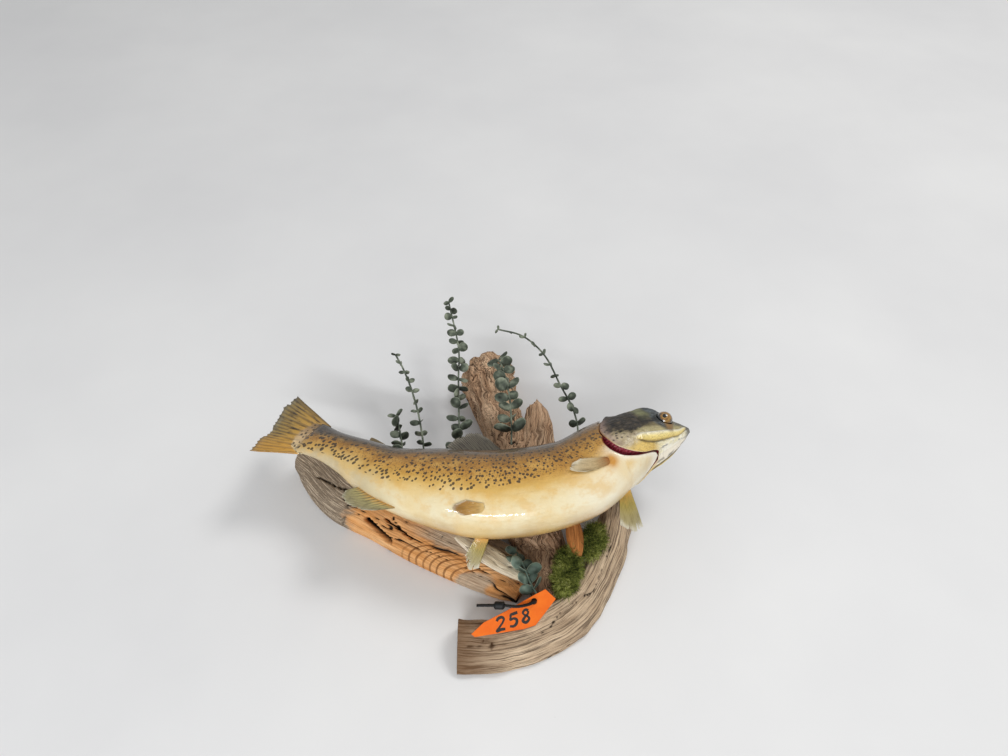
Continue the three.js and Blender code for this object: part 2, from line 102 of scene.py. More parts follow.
def smooth(rows, at, column=1):
    """Reads one column of a table of stations as a smooth curve."""
    table = np.asarray(rows, float)
    places, heights = table[:, 0], table[:, column]
    last = len(places) - 1
    ahead = np.minimum(np.arange(last + 1) + 1, last)
    behind = np.maximum(np.arange(last + 1) - 1, 0)
    slope = (heights[ahead] - heights[behind]) / (places[ahead] - places[behind])
    at = np.asarray(at, float)
    i = np.clip(np.searchsorted(places, at, side="right") - 1, 0, last - 1)
    span = places[i + 1] - places[i]
    t = np.clip((at - places[i]) / span, -0.3, 1.3)
    level = mix(heights[i], heights[i + 1], t * t * (3 - 2 * t))
    leave = t * (1 - t) * (1 - t) * slope[i]
    return level + span * (leave + t * t * (t - 1) * slope[i + 1])


def path_of(rows, steps):
    """A smooth path through rows of points, evenly stepped by row."""
    table = [(i, *row) for i, row in enumerate(rows)]
    places = np.linspace(0, len(table) - 1, steps)
    return np.stack([smooth(table, places, k + 1) for k in range(len(rows[0]))], -1)


def unit(vectors):
    return vectors / np.maximum(np.linalg.norm(vectors, axis=-1, keepdims=True), 1e-12)


LATTICE = 32


def field(points, size, seed):
    """A smooth random value from -1 to 1 at each point; `size` is the distance between its hills."""
    table = np.random.default_rng(seed).uniform(-1, 1, (LATTICE, LATTICE, LATTICE))
    place = np.asarray(points, float) / size
    cell = np.floor(place).astype(int)
    share = place - cell
    share = share * share * (3 - 2 * share)
    total = np.zeros(place.shape[:-1])
    for corner in np.ndindex(2, 2, 2):
        weight = np.prod(np.where(corner, share, 1 - share), axis=-1)
        at = (cell + corner) % LATTICE
        total += weight * table[at[..., 0], at[..., 1], at[..., 2]]
    return total


print("a random field at three points:", field(np.eye(3) * 7, 5, 1).round(2))


# %% [markdown]
# ## From arrays to meshes
# Most pieces here are one grid of points wrapped into a closed shape: a tube, a blade or a plate. A
# grid keeps the faces even and lets each point carry numbers of its own, such as how far it is from
# the snout, which its material reads later.


# %% Build a mesh from a grid, and hand it to the frame
def show(name, mesh):
    piece = bpy.data.objects.new(name, mesh)
    bpy.context.scene.collection.objects.link(piece)
    return piece


def mesh_piece(name, points, faces, notes=None):
    """A mesh object from points in metres. `notes` holds a number or a vector for each point."""
    mesh = bpy.data.meshes.new(name)
    mesh.from_pydata(np.asarray(points).tolist(), [], [list(map(int, face)) for face in faces])
    for key, values in (notes or {}).items():
        values = np.asarray(values, np.float32)
        kind, slot = ("FLOAT_VECTOR", "vector") if values.ndim == 2 else ("FLOAT", "value")
        mesh.attributes.new(key, kind, "POINT").data.foreach_set(slot, values.ravel())
    mesh.validate()
    mesh.shade_smooth()
    return show(name, mesh)


def tube(name, points, tips, notes=None):
    """A closed tube through rings of points in millimetres, each end drawn in to a tip."""
    rings, sides = points.shape[:2]
    ring, side = np.meshgrid(np.arange(rings - 1), np.arange(sides), indexing="ij")
    a = ring * sides + side
    b = ring * sides + (side + 1) % sides
    faces = np.stack([a, b, b + sides, a + sides], -1).reshape(-1, 4).tolist()
    base, count = (rings - 1) * sides, rings * sides
    for side in range(sides):
        after = (side + 1) % sides
        faces += [[count, after, side], [count + 1, base + side, base + after]]
    flat = np.concatenate([points.reshape(-1, 3), tips]) * MM
    return mesh_piece(name, flat, faces, notes)


def outward(piece):
    """Turns every face of a closed piece outwards."""
    shape = bmesh.new()
    shape.from_mesh(piece.data)
    bmesh.ops.remove_doubles(shape, verts=shape.verts, dist=1e-7)
    bmesh.ops.recalc_face_normals(shape, faces=shape.faces)
    shape.to_mesh(piece.data)
    shape.free()
    piece.data.shade_smooth()
    return piece


def hand_over(piece, finish, slot, *nodes):
    """Gives a piece its material and its body, and hides the CAD nodes that it stands for; `slot` is
    not used.
    """
    piece.data.materials.clear()
    piece.data.materials.append(finish)
    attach(piece, "root")
    if nodes:
        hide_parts(*nodes)
    triangles = sum(len(face.vertices) - 2 for face in piece.data.polygons)
    print(f"{piece.name}: {triangles} triangles")


# %% [markdown]
# ## Shader maths
# A material is a graph of nodes, which is hard to read as code. One small class wraps a socket, so
# that `1 - mask * 0.5` adds the Math nodes by itself, and one method makes any other node.


# %% A socket that does sums
class Wire:
    """An output socket of a node tree that can be used in Python expressions."""

    def __init__(self, graph, socket):
        self.graph = graph
        self.socket = socket

    def other(self, name):
        """Another output of the same node."""
        return Wire(self.graph, self.socket.node.outputs[name])

    def math(self, operation, *values):
        return self.graph.node("ShaderNodeMath", values, operation=operation)

    def between(self, low, high):
        """0 at `low` and below, 1 at `high` and above, smooth between them."""
        values = [self, low, high, 0.0, 1.0]
        return self.graph.node("ShaderNodeMapRange", values, interpolation_type="SMOOTHSTEP")

    def within(self, low, rise, fall, high):
        """1 from `rise` to `fall`, and 0 below `low` and above `high`."""
        return self.between(low, rise) * self.between(high, fall)

    def __rsub__(self, other):
        return self.math("SUBTRACT", other, self)


def sum_of(operation):
    """A method of Wire that does this sum with its other inputs."""
    return lambda self, *others: self.math(operation, self, *others)


SUMS = {
    "ADD": ("__add__", "__radd__"),
    "SUBTRACT": ("__sub__",),
    "MULTIPLY": ("__mul__", "__rmul__"),
    "DIVIDE": ("__truediv__",),
    "POWER": ("__pow__",),
    "MAXIMUM": ("largest",),
    "ABSOLUTE": ("absolute",),
    "SINE": ("sine",),
    "COSINE": ("cosine",),
}
for operation, names in SUMS.items():
    for name in names:
        setattr(Wire, name, sum_of(operation))
print("sums of a wire:", *SUMS)


# %% A material under construction
def colour(code):
    """A colour given as six hexadecimal digits, in the linear light that shaders use."""
    parts = [int(code[i : i + 2], 16) / 255 for i in (0, 2, 4)]
    return [p / 12.92 if p <= 0.04045 else ((p + 0.055) / 1.055) ** 2.4 for p in parts] + [1.0]


class Graph:
    """A node tree and the one method that makes its nodes."""

    def __init__(self, tree):
        self.tree = tree

    def plug(self, socket, value):
        if isinstance(value, Wire):
            self.tree.links.new(value.socket, socket)
        else:
            socket.default_value = value

    def node(self, kind, values=(), out=0, **settings):
        """Any node: its sockets by number or by name, which output, and its settings."""
        made = self.tree.nodes.new(kind)
        for key, value in settings.items():
            setattr(made, key, value)
        pairs = values.items() if isinstance(values, dict) else enumerate(values)
        for key, value in pairs:
            self.plug(made.inputs[key], value)
        return Wire(self, made.outputs[out])


class Finish(Graph):
    """One material and the tools to build it."""

    def __init__(self, name, roughness=0.5, coat=0.0, coat_roughness=0.1, specular=0.5):
        self.material = bpy.data.materials.new(name)
        self.material.use_nodes = True
        super().__init__(self.material.node_tree)
        self.shader = self.tree.nodes["Principled BSDF"]
        self.set("Roughness", roughness)
        self.set("Coat Weight", coat)
        self.set("Coat Roughness", coat_roughness)
        self.set("Specular IOR Level", specular)

    def set(self, name, value):
        self.plug(self.shader.inputs[name], value)

    def paint(self, base, *coats):
        self.set("Base Color", self.layers(base, *coats))

    def painted(self, name="Base Color"):
        """What is wired into the shader so far."""
        return Wire(self, self.shader.inputs[name].links[0].from_socket)

    def note(self, name):
        """A number that the piece's points carry."""
        named = {"attribute_type": "GEOMETRY", "attribute_name": name}
        return self.node("ShaderNodeAttribute", out=2, **named)

    def vector(self, name):
        """A vector that the piece's points carry."""
        return self.note(name).other("Vector")

    def place(self):
        return self.node("ShaderNodeTexCoord", out=3)

    def parts(self, vector):
        return [self.node("ShaderNodeSeparateXYZ", [vector], out=i) for i in range(3)]

    def stretch(self, vector, scale):
        return self.node("ShaderNodeMapping", {"Vector": vector, "Scale": scale})

    def noise(self, vector, scale, detail=3.0, roughness=0.55, warp=0.0):
        """Noise from 0 to 1; three scales instead of one draw it out along an axis."""
        if isinstance(scale, tuple):
            vector, scale = self.stretch(vector, scale), 1.0
        values = {"Vector": vector, "Scale": scale, "Detail": detail}
        values |= {"Roughness": roughness, "Distortion": warp}
        return self.node("ShaderNodeTexNoise", values)

    def uneven(self, *shape):
        """The same noise from -0.5 to 0.5."""
        return self.noise(*shape) - 0.5

    def cells(self, vector, scale, randomness=1.0, flat=True):
        """Random cells: the distance to the nearest centre, and three random numbers of that cell."""
        values = {"Vector": vector, "Scale": scale, "Randomness": randomness}
        kind = "2D" if flat else "3D"
        distance = self.node("ShaderNodeTexVoronoi", values, voronoi_dimensions=kind)
        return distance, self.parts(distance.other("Color"))

    def ramp(self, value, *stops):
        """A colour for each value: a stop is (place from 0 to 1, colour code)."""
        made = self.node("ShaderNodeValToRGB", [value])
        band = made.socket.node.color_ramp
        while len(band.elements) < len(stops):
            band.elements.new(0.5)
        for element, (where, code) in zip(band.elements, stops):
            element.position = where
            element.color = colour(code)
        return made

    def layers(self, base, *coats):
        """Paint in layers: a coat is (mask, colour), laid over what is there where the mask is 1."""
        for mask, above in coats:
            codes = [colour(c) if isinstance(c, str) else c for c in (base, above)]
            base = self.node("ShaderNodeMix", {0: mask, 6: codes[0], 7: codes[1]}, 2, data_type="RGBA")
        return base

    def relief(self, height, depth, strength):
        """Bump of so many metres, added to what the piece already has."""
        values = {"Strength": strength, "Distance": depth, "Height": height}
        if self.shader.inputs["Normal"].is_linked:
            values["Normal"] = self.painted("Normal")
        self.set("Normal", self.node("ShaderNodeBump", values))


print("shader tools ready")

# %% [markdown]
# ## Room, camera and light
# The mount lies on a pale table and is seen from above and in front. One broad lamp stands behind on
# the right and throws the soft shadows, and a larger, weaker one lights the front. A long low window
# behind the viewer draws the bright wobbly line along the varnished belly. None of it is part of the
# object.

# %% Camera
EYE_POINT = (0.0375, -0.438, 0.740)
LOOK_DOWN = math.radians(47)
PICTURE_WIDE, FOCAL_PIXELS = 1008, 761

camera = bpy.data.cameras.new("camera")
camera.sensor_width = 36
camera.lens = camera.sensor_width * FOCAL_PIXELS / PICTURE_WIDE
viewer = show("camera", camera)
viewer.location = EYE_POINT
viewer.rotation_euler = (math.pi / 2 - LOOK_DOWN, 0, 0)
bpy.context.scene.camera = viewer
print("lens", round(camera.lens, 2), "mm")

# %% Table top and lamps
TABLE_HALF = 3.0
WARM, COOL = (1, 0.985, 0.96), (0.97, 0.985, 1)
# Each lamp: its direction from the fish, its distance, its size and its power.
LAMPS = {
    "lamp_behind": ((0.62, 0.50, 1.0), 3.6, (1.3, 1.0), 44, WARM),
    "room_front": ((-0.15, -1.0, 0.45), 3.6, (2.6, 1.6), 26, WARM),
    "window_front": ((-0.25, -1.0, 0.66), 2.6, (1.8, 0.12), 30, COOL),
}
ROOM_LIGHT, ROOM_TINT = 0.46, (0.98, 0.99, 1, 1)


def table_top():
    finish = Finish("table_paint", roughness=0.5, specular=0.35)
    place = finish.place()
    speck = finish.cells(place, 90, flat=False)[0].between(0.05, 0.03)
    speck = speck * finish.noise(place, 14).between(0.55, 0.7)
    paint = finish.ramp(finish.noise(place, 2.2, 4), (0.3, "dcdcdd"), (0.7, "e6e6e6"))
    finish.paint(paint, (speck * 0.35, "a9a6a0"))
    finish.relief(finish.noise(place, 60, 4), 0.0006, 0.25)
    half = TABLE_HALF
    corners = [(-half, -half, 0), (half, -half, 0), (half, half, 0), (-half, half, 0)]
    floor = mesh_piece("table_top", corners, [(0, 1, 2, 3)])
    floor.data.materials.append(finish.material)
    floor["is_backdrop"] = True


def lamp(name, towards, distance, size, power, tint):
    """A soft rectangular lamp in the direction `towards` from the fish, facing it."""
    light = bpy.data.lights.new(name, "AREA")
    light.shape = "RECTANGLE"
    light.size, light.size_y = size
    light.energy = power
    light.color = tint
    holder = show(name, light)
    direction = Vector(towards).normalized()
    holder.location = direction * distance
    holder.rotation_euler = direction.to_track_quat("Z", "Y").to_euler()


table_top()
for name, facts in LAMPS.items():
    lamp(name, *facts)
world = bpy.data.worlds.new("room")
world.use_nodes = True
sky = world.node_tree.nodes["Background"]
sky.inputs[0].default_value = ROOM_TINT
sky.inputs[1].default_value = ROOM_LIGHT
bpy.context.scene.world = world
bpy.context.scene.view_settings.view_transform = "Standard"
print("lamps:", *LAMPS)

# %% [markdown]
# ## The fish's own measure
# The skin is drawn in the fish's own terms: how far a point is from the snout, and its angle round
# the body from the back. The stations are in millimetres. The spine bends, so every cross-section
# stands square to it, and the whole fish is rolled a little.

# %% Stations of the body
ROLL = math.radians(13.5)
SPINE = [
    (0, 242.5, 97, 81), (30, 215.5, 89, 84), (76, 172.5, 73, 87), (108, 144, 57, 88),
    (156, 103, 28, 84), (227, 33, 16, 77), (291, -30, 25, 75), (346, -83, 38, 75),
    (397, -128, 64, 76), (448, -173, 87, 78), (500, -220, 108, 77),
]
# Distance, height above the spine, depth below it, half-widths above and below, squareness.
GIRTH = [
    (0, 3, 4, 3, 3, 1), (4, 5.5, 7, 5, 6, 0.95), (14, 8.5, 14, 8.5, 14, 0.88),
    (22, 12.5, 18, 12.5, 19, 0.8), (28, 18.5, 20.5, 17, 22, 0.72), (36, 30.5, 23.5, 23, 25.5, 0.66),
    (46, 36, 27, 26, 28.5, 0.68), (60, 36.5, 32, 26.5, 32, 0.76), (80, 36.5, 41, 27.5, 36.5, 0.86),
    (100, 37.5, 47, 29.5, 37.5, 0.9), (125, 41, 51, 32, 36, 0.92), (150, 47, 53, 34, 35, 0.92),
    (190, 52, 54, 36, 36, 0.92), (225, 54, 54, 36.5, 36.5, 0.92), (260, 52, 53, 36, 36, 0.92),
    (300, 47, 47, 33, 33, 0.92), (340, 40, 38, 27, 27, 0.92), (370, 34, 31, 22, 22, 0.92),
    (400, 27, 25, 16, 16, 0.92), (425, 24, 23, 11, 11, 0.95), (450, 27, 27, 5, 5, 1),
    (456, 28, 28, 2.5, 2.5, 1),
]
# Degrees from the back, and how far from the snout the gill cover's rear edge is there.
GILL_EDGE = [
    (0, 86), (40, 87), (56, 92), (74, 102), (92, 109), (114, 108.5),
    (130, 103), (142, 95), (152, 84), (161, 69), (172, 57), (180, 55),
]
GILL_OPENING = {"thin": 0.8, "wide": 7.0, "from": 96}
# The upper lip's long bone: distance, and its two edges in degrees from the back.
MAXILLA = [
    (6, 100, 124), (22, 131, 155), (38, 131, 159), (57, 126, 152), (74, 120, 139), (84, 121, 129),
]
EYE = {"at": 35.0, "above": -1.0, "radius": 9.0, "sunk": 1.8}
BODY_END = 455


# %% Points of the body from distance and angle
def spine(at):
    """Points on the spine with the directions to the head, the back and the right."""
    at = np.asarray(at, float)
    here, fore, aft = (
        np.stack([smooth(SPINE, where, k) for k in (1, 2, 3)], -1) for where in (at, at - 2, at + 2)
    )
    ahead = unit(fore - aft)
    level = unit(np.cross((0, 0, 1), ahead))
    back = level * math.cos(ROLL) - np.cross(ahead, level) * math.sin(ROLL)
    return here, ahead, back, np.cross(ahead, back)


def in_fish(at, above, aside):
    point, _, back, right = spine(at)
    return point + back * np.asarray(above)[..., None] + right * np.asarray(aside)[..., None]


def on_body(at, angle, grown=0.0):
    """Points of the body's surface; `angle` is in radians from the back, over the right flank."""
    at, angle, grown = np.broadcast_arrays(at, angle, grown)
    c, s = np.cos(angle), np.sin(angle)
    tall = np.where(c > 0, smooth(GIRTH, at, 1), smooth(GIRTH, at, 2))
    wide = mix(smooth(GIRTH, at, 3), smooth(GIRTH, at, 4), (1 - c) / 2)
    square = smooth(GIRTH, at, 5)
    return in_fish(at, (tall + grown) * swell(c, square), (wide + grown) * swell(s, square))


def from_back(angle):
    """Degrees from the back, the same on both flanks."""
    return np.abs((np.degrees(angle) + 540) % 360 - 180)


def flank_of(angle):
    """1 on the right flank, -1 on the left."""
    return np.where(np.sin(angle) >= 0, 1.0, -1.0)


def gill_edge(angle):
    return smooth(GILL_EDGE, from_back(angle))


def shoulder_edge(angle):
    start = GILL_OPENING["from"]
    share = np.maximum(0, (from_back(angle) - start) / (180 - start))
    gape = GILL_OPENING["wide"] * np.sin(np.pi * share**0.85) ** 0.6
    return gill_edge(angle) + GILL_OPENING["thin"] + gape


def lip_bone(at, turned):
    """The edges of the lip's bone in degrees, and how far a point is across it from 0 to 1."""
    upper, lower = smooth(MAXILLA, at, 1), smooth(MAXILLA, at, 2)
    return upper, lower, (turned - upper) / (lower - upper)


print("the snout is at", in_fish(0, 0, 0).round(1), "mm")

# %% [markdown]
# ## The skin
# One skin runs from the snout to the wrist of the tail, so that no seam shows. It is a grid of rings
# wrapped round the body. The rings bend along the gill cover's edge, drop under it into the gill
# slit, and come up again on the shoulder, which gives the cover a true thin edge. On the head,
# formulas for each bone lift or sink the surface: lip, cheek, brow, nostrils and the eye's socket.

# %% Relief of the head, in millimetres
SKIN_DEPTH = 0.3
EYE_SOCKET = {"lip": 10.0, "inside": 8.6, "deep": 5.2}
FAR = 99.0
# Each nostril: distance from the snout, degrees from the back, radius.
NOSTRILS = ((15.5, 48, 1.5), (19.5, 56, 1.2))


def eye_centre(side):
    """The middle of an eyeball; `side` is 1 for the right eye and -1 for the left."""
    point, _, back, right = spine(EYE["at"])
    wide = mix(smooth(GIRTH, EYE["at"], 3), smooth(GIRTH, EYE["at"], 4), 0.4)
    return point + back * EYE["above"] + right * side * (wide - EYE["sunk"])


def gaze(side, down=0.40, aft=0.0):
    """The way an eye faces: off the flank, turned a little to the belly and to the tail."""
    _, ahead, back, right = spine(EYE["at"])
    return unit(right * side - back * down - ahead * aft)


def from_eye(points, side):
    """Distance from the line through the middle of the eye's socket."""
    way = gaze(side)
    offset = points - eye_centre(side)
    outwards = offset @ way
    return np.linalg.norm(offset - outwards[..., None] * way, axis=-1)


def cheek_line(turned):
    """Where the gill cover begins behind the cheek."""
    return 64 + 5 * bump(turned, 118, 26) - 12 * step(140, 170, turned)


def head_relief(at, angle, points):
    """How far each point of the skin stands out of the plain body."""
    turned, edge = from_back(angle), gill_edge(angle)
    on_head = step(2, -2, at - edge)
    # The lip's bone, the groove below it, the chin and its folds.
    upper, lower, across = lip_bone(at, turned)
    along_lip = step(4, 9, at) * step(86, 80, at)
    lip = step(-0.1, 0.12, across) * step(1.06, 0.92, across) * along_lip
    crease = bump(turned, lower + 1.2, 1.6) * step(3, 8, at) * step(88, 80, at)
    height = 0.55 * lip + 0.25 * lip * bump(across, 0.35, 0.25) - 1.0 * crease
    height -= 0.35 * bump(turned, upper - 1.5, 2.0) * along_lip
    chin = step(2, 6, turned - lower) * step(60, 50, at) * step(2, 12, at)
    height += chin * (0.5 * bump(turned, 166, 7) - 1.3 * bump(turned, 180, 4.5))
    folds = step(138, 150, turned) * step(40, 48, at) * step(-1, -8, at - edge)
    height += 0.28 * folds * np.sin((edge - at) * 1.15)
    # The gill cover's plates and the ribs on them.
    cheek = cheek_line(turned)
    plate = step(70, 82, turned) * step(168, 150, turned)
    height -= 0.6 * bump(at, cheek, 1.6) * plate
    height += 0.5 * step(0, 8, at - cheek) * plate * on_head
    height -= 0.3 * bump(turned, 141, 2.2) * step(cheek, cheek + 6, at) * on_head
    ribs = np.sin(np.degrees(np.arctan2(turned - 84, (at - 68) * 1.6)) * 0.55)
    height += 0.1 * ribs * step(0, 10, at - cheek) * plate * on_head
    height += 0.6 * bump(edge - at, 1.8, 2.6) * on_head * step(20, 50, turned)
    for where, round_to, size in NOSTRILS:
        offset = np.hypot(at - where, (turned - round_to) * 0.2)
        height -= 1.5 * bump(offset, 0, size) - 0.4 * bump(offset, size * 1.7, 0.8)
    # The eye's socket, the bones of the skull, the brow and the nape.
    socket = EYE_SOCKET["lip"]
    for way in (-1, 1):
        off = np.where(flank_of(angle) == way, from_eye(points, way), FAR)
        height += 0.8 * bump(off, socket + 0.4, 1.3)
        height -= EYE_SOCKET["deep"] * step(socket, EYE_SOCKET["inside"] - 1.2, off)
        height -= 0.35 * bump(off, 13.2, 1.3)
    bones = field(points, 9, 4) * 0.5 + field(points, 4, 5) * 0.3 + field(points, 1.8, 6) * 0.1
    height += bones * (0.35 + 0.65 * step(110, 80, turned)) * on_head * step(4, 12, at)
    height += 1.4 * bump(at, 43, 7) * step(60, 20, turned)
    nape = step(72, 40, turned)
    return height + nape * (1.6 * bump(edge - at, 2, 5) - 3.2 * bump(at - edge, 4, 8) * (at > edge))


print("the right eye is at", eye_centre(1).round(1), "mm")

# %% Rows of the skin, from the snout to the tail
ROUND = 340
HEAD_ROWS, TRUNK_ROWS = 150, 108
# Rows into the slit and out of it: how far to the tail, and how deep.
SLIT_UNDERCUT = [(0.15, 0.5), (-0.6, 1.5), (-3.0, 4.2), (-3.5, 6.2)]
SLIT_RISE = [(-0.5, 6.4), (1.2, 4.0), (2.0, 1.6), (3.2, 0.35)]


def skin_rows():
    """Angle, distance from the snout, how far it is sunk and how raw it is, for each point."""
    angle = circle(ROUND) - 0.11 * np.sin(4 * circle(ROUND))
    edge, shoulder = gill_edge(angle), shoulder_edge(angle)
    whole = np.zeros(ROUND)
    gape = mix(0.16, 1, step(82, 100, from_back(angle)))
    closing = step(180, 172, from_back(angle)) * 0.6 + 0.4
    rows = [(edge * share**1.06, whole, whole) for share in np.linspace(0.004, 1, HEAD_ROWS)]
    for ahead, sunk in SLIT_UNDERCUT:
        rows.append((edge + ahead * gape, sunk * gape * closing, gape * min(1, sunk)))
    for ahead, sunk in SLIT_RISE:
        at, raw = shoulder + (ahead - 2) * gape, gape * step(0.8, 2.5, sunk)
        rows.append((at, sunk * gape * closing, raw))
    start = shoulder + 1.2 * gape
    for share in np.linspace(0, 1, TRUNK_ROWS + 1)[1:]:
        rows.append((mix(start, BODY_END, share**1.15), whole, whole))
    at, sunk, raw = (np.array(column) for column in zip(*rows))
    return np.broadcast_to(angle, at.shape), at, sunk, raw


print("skin grid", len(skin_rows()[0]), "rows of", ROUND)

# %% What the paint needs to know at each point
# The unrolled skin: how far it is from the back along the skin, every 5 mm and every 2 degrees.
MAP_STEP, MAP_TURN = 5, 2
MAP_AT, MAP_TURNS = np.arange(0, 465, MAP_STEP), np.arange(0, 181, MAP_TURN)
map_points = on_body(MAP_AT[:, None], np.radians(MAP_TURNS)[None, :])
map_gaps = np.linalg.norm(np.diff(map_points, axis=1), axis=-1)
UNROLLED = np.pad(np.cumsum(map_gaps, axis=1), ((0, 0), (1, 0)))
# Distance from the snout, and the degrees that the spots and the dark crown reach down to.
SPOT_LIMIT = [
    (86, 104), (130, 98), (152, 99), (185, 110), (243, 122), (283, 130),
    (329, 127), (346, 133), (381, 138), (415, 144), (455, 152),
]
CROWN_LIMIT = [
    (0, 100), (12, 92), (24, 80), (40, 86), (50, 98), (62, 106), (78, 110), (92, 106), (110, 92),
]


def cloth_notes(at, angle):
    """Places for patterns: `cloth` on the fish made straight, `weave` on its skin laid flat."""
    point, _, back, right = spine(at)
    offset = on_body(at, angle) - point
    row = np.clip(at / MAP_STEP, 0, len(MAP_AT) - 1.01)
    column = np.clip(from_back(angle) / MAP_TURN, 0, len(MAP_TURNS) - 1.01)
    i, j = row.astype(int), column.astype(int)
    near = mix(UNROLLED[i, j], UNROLLED[i, j + 1], column - j)
    far = mix(UNROLLED[i + 1, j], UNROLLED[i + 1, j + 1], column - j)
    arc = mix(near, far, row - i) * flank_of(angle)
    solid = stacked(at, np.sum(offset * back, -1), np.sum(offset * right, -1))
    return {"cloth": solid, "weave": stacked(at, arc, 0.0)}


def flesh_notes(at, angle, points, raw):
    """Everything that the material of the flesh reads."""
    turned, edge = from_back(angle), gill_edge(angle)
    head = step(1.5, -1.5, at - edge)
    upper, lower, across = lip_bone(at, turned)
    on_lip = step(5, 12, at) * step(88, 80, at) * step(-3, 2, turned - upper)
    eye = np.minimum(from_eye(points, 1), from_eye(points, -1))
    limit = smooth(SPOT_LIMIT, at)
    spotted = step(48, 70, turned) * step(limit + 4, limit - 3, turned)
    spotted = spotted * (0.60 + 0.38 * bump(turned, limit - 12, 14))
    return cloth_notes(at, angle) | {
        "measure": stacked(at / 100, turned / 100, flank_of(angle)),
        "head": head,
        "raw": raw,
        "lip": head * on_lip * step(3, -1, turned - lower),
        "lip_across": across,
        "chin": head * step(-1, 3, turned - lower) * step(66, 52, at),
        "cover": head * step(-4, 3, at - cheek_line(turned)),
        "rim": head * bump(edge - at, 0, 5.5),
        "throat": (1 - head) * bump(at - edge, 6, 9) * step(102, 122, turned),
        "socket": (1 - head) * bump(at, 123, 6.5) * bump(turned, 131, 10),
        "orbit": head * step(20, 14, eye + 8 * step(EYE["at"] + 1, EYE["at"] - 9, at)),
        "spotted": spotted * step(-2, 6, at - edge),
        "crown": smooth(CROWN_LIMIT, at) / 100,
    }


print("the skin is", UNROLLED[:, -1].max().round(), "mm from back to belly")


# %% Make the skin
# Small steps along and round the body, for its slope; height and number of the gills' filaments.
AT_STEP, TURN_STEP = 0.5, 0.02
FILAMENT_TALL, FILAMENTS = 0.5, 70


def make_skin():
    angle, at, sunk, raw = skin_rows()
    plain = on_body(at, angle, -SKIN_DEPTH)
    along = on_body(at + AT_STEP, angle) - on_body(at - AT_STEP, angle)
    around = on_body(at, angle + TURN_STEP) - on_body(at, angle - TURN_STEP)
    normal = unit(np.cross(along, around))
    middle = in_fish(at, 0 * at, 0 * at)
    inside = np.sum(normal * (plain - middle), axis=-1, keepdims=True) < 0
    normal = np.where(inside, -normal, normal)
    filaments = FILAMENT_TALL * np.sin(angle * FILAMENTS) * (raw > 0.9)
    lift = head_relief(at, angle, plain) - sunk + filaments
    notes = {}
    for key, values in flesh_notes(at, angle, plain, raw).items():
        values = values.reshape(at.size, -1)
        ends = np.stack([values[:ROUND].mean(0), values[-ROUND:].mean(0)])
        notes[key] = np.concatenate([values, ends]).squeeze()
    tips = [in_fish(at[0].mean() - 0.2, 0, 0), in_fish(BODY_END + 0.3, 0, 0)]
    return tube("skin", plain + normal * lift[..., None], tips, notes)

# %% [markdown]
# ## Painting the flesh
# A brown trout is dark along the back, golden on the upper flank and cream below, with small dark
# spots that stop about halfway down. The bands follow the angle round the body, a little unevenly.
# The spots come from random cells, measured on the skin itself so that they stay round. Varnish is a
# coat over the paint, with soft runs in it that make the highlights wobble.


# %% Paint of the flank
# Colours down the flank, from the back to the belly.
FLANK = [
    (0.0, "2a241f"), (0.22, "43392f"), (0.31, "604b2c"), (0.36, "805a20"), (0.42, "a1701f"),
    (0.48, "b6822d"), (0.55, "c8983f"), (0.60, "d6ae5c"), (0.66, "e4c98e"), (0.72, "e6d6ac"),
    (0.84, "e6dab6"), (0.90, "d8c498"),
]


def measure(finish):
    """Distance in tenths of a metre, hundreds of degrees from the back, and which flank."""
    return finish.parts(finish.vector("measure"))


def spots(finish, cell, size, spread):
    """One spot in each random cell: where it is, and a random number for the spot."""
    wobble = finish.uneven(finish.vector("cloth"), 0.45, 2)
    distance, lot = cell
    return size + lot[0] * 0.14 + wobble * spread - distance, lot[1]


def flank_paint(finish):
    at, turned, side = measure(finish)
    cloth, weave, head = finish.vector("cloth"), finish.vector("weave"), finish.note("head")
    noise = finish.noise
    patchy, fine = finish.uneven(cloth, 0.035, 4), finish.uneven(cloth, 0.22, 3)
    band = turned / 2.0 - 0.004 + patchy * 0.20 + fine * 0.03 - (at - 2.6).largest(0) * 0.030
    pale = (at - 1.25).absolute().between(0.55, 0.1) * turned.between(1.05, 1.4)
    around = turned + (1 - side) * 0.5 * (3.6 - turned * 2)
    beneath = (around + patchy * 0.15).between(1.74, 2.06) * around.between(2.8, 2.4)
    beneath = beneath * at.within(1.0, 1.7, 2.8, 3.5)
    # Darker olive on the tail stalk: partly its own colour, partly painted shade on its lower side.
    stalk_tone_and_shade = at.between(3.1, 4.0) * turned.between(0.92, 1.32) * (0.85 + patchy * 2)
    gold = noise(cloth, 0.075, 4, 0.6).between(0.44, 0.66) * turned.within(0.7, 0.9, 1.5, 1.9)
    broad = noise(cloth, 0.022, 2).between(0.42, 0.66) * turned.between(1.0, 1.25)
    # Fine specks high on the flank, then the dark spots.
    speck, lot = spots(finish, finish.cells(weave, 0.42), 0.20, 0.2)
    speck = speck.between(-0.03, 0.08) * lot.between(0.3, 0.4)
    speck = speck * turned.within(0.35, 0.6, 1.0, 1.20) * (1 - head)
    cell = finish.cells(finish.stretch(weave, (1.15, 0.95, 1)), 0.19)
    dark, lot = spots(finish, cell, 0.22, 0.22)
    dark = (dark + at.between(3.2, 4.4) * 0.12).between(-0.02, 0.05)
    dark = dark * (finish.note("spotted") - lot).between(0.0, 0.04)
    shoulder = (1 - head) * at.between(1.75, 1.0) * turned.between(1.25, 0.7)
    return finish.layers(
        finish.ramp(band, *FLANK),
        (pale * 0.6, "f3eedb"),
        (beneath * 0.95, "a67a3e"),
        (stalk_tone_and_shade * 0.6, "96794a"),
        (gold * 0.5, "dcae58"),
        (broad * 0.5, "e0c07c"),
        (speck * 0.7, "553818"),
        (dark * 0.88, "281b0e"),
        (shoulder * (0.45 + patchy * 2), "7a5a2c"),
    )


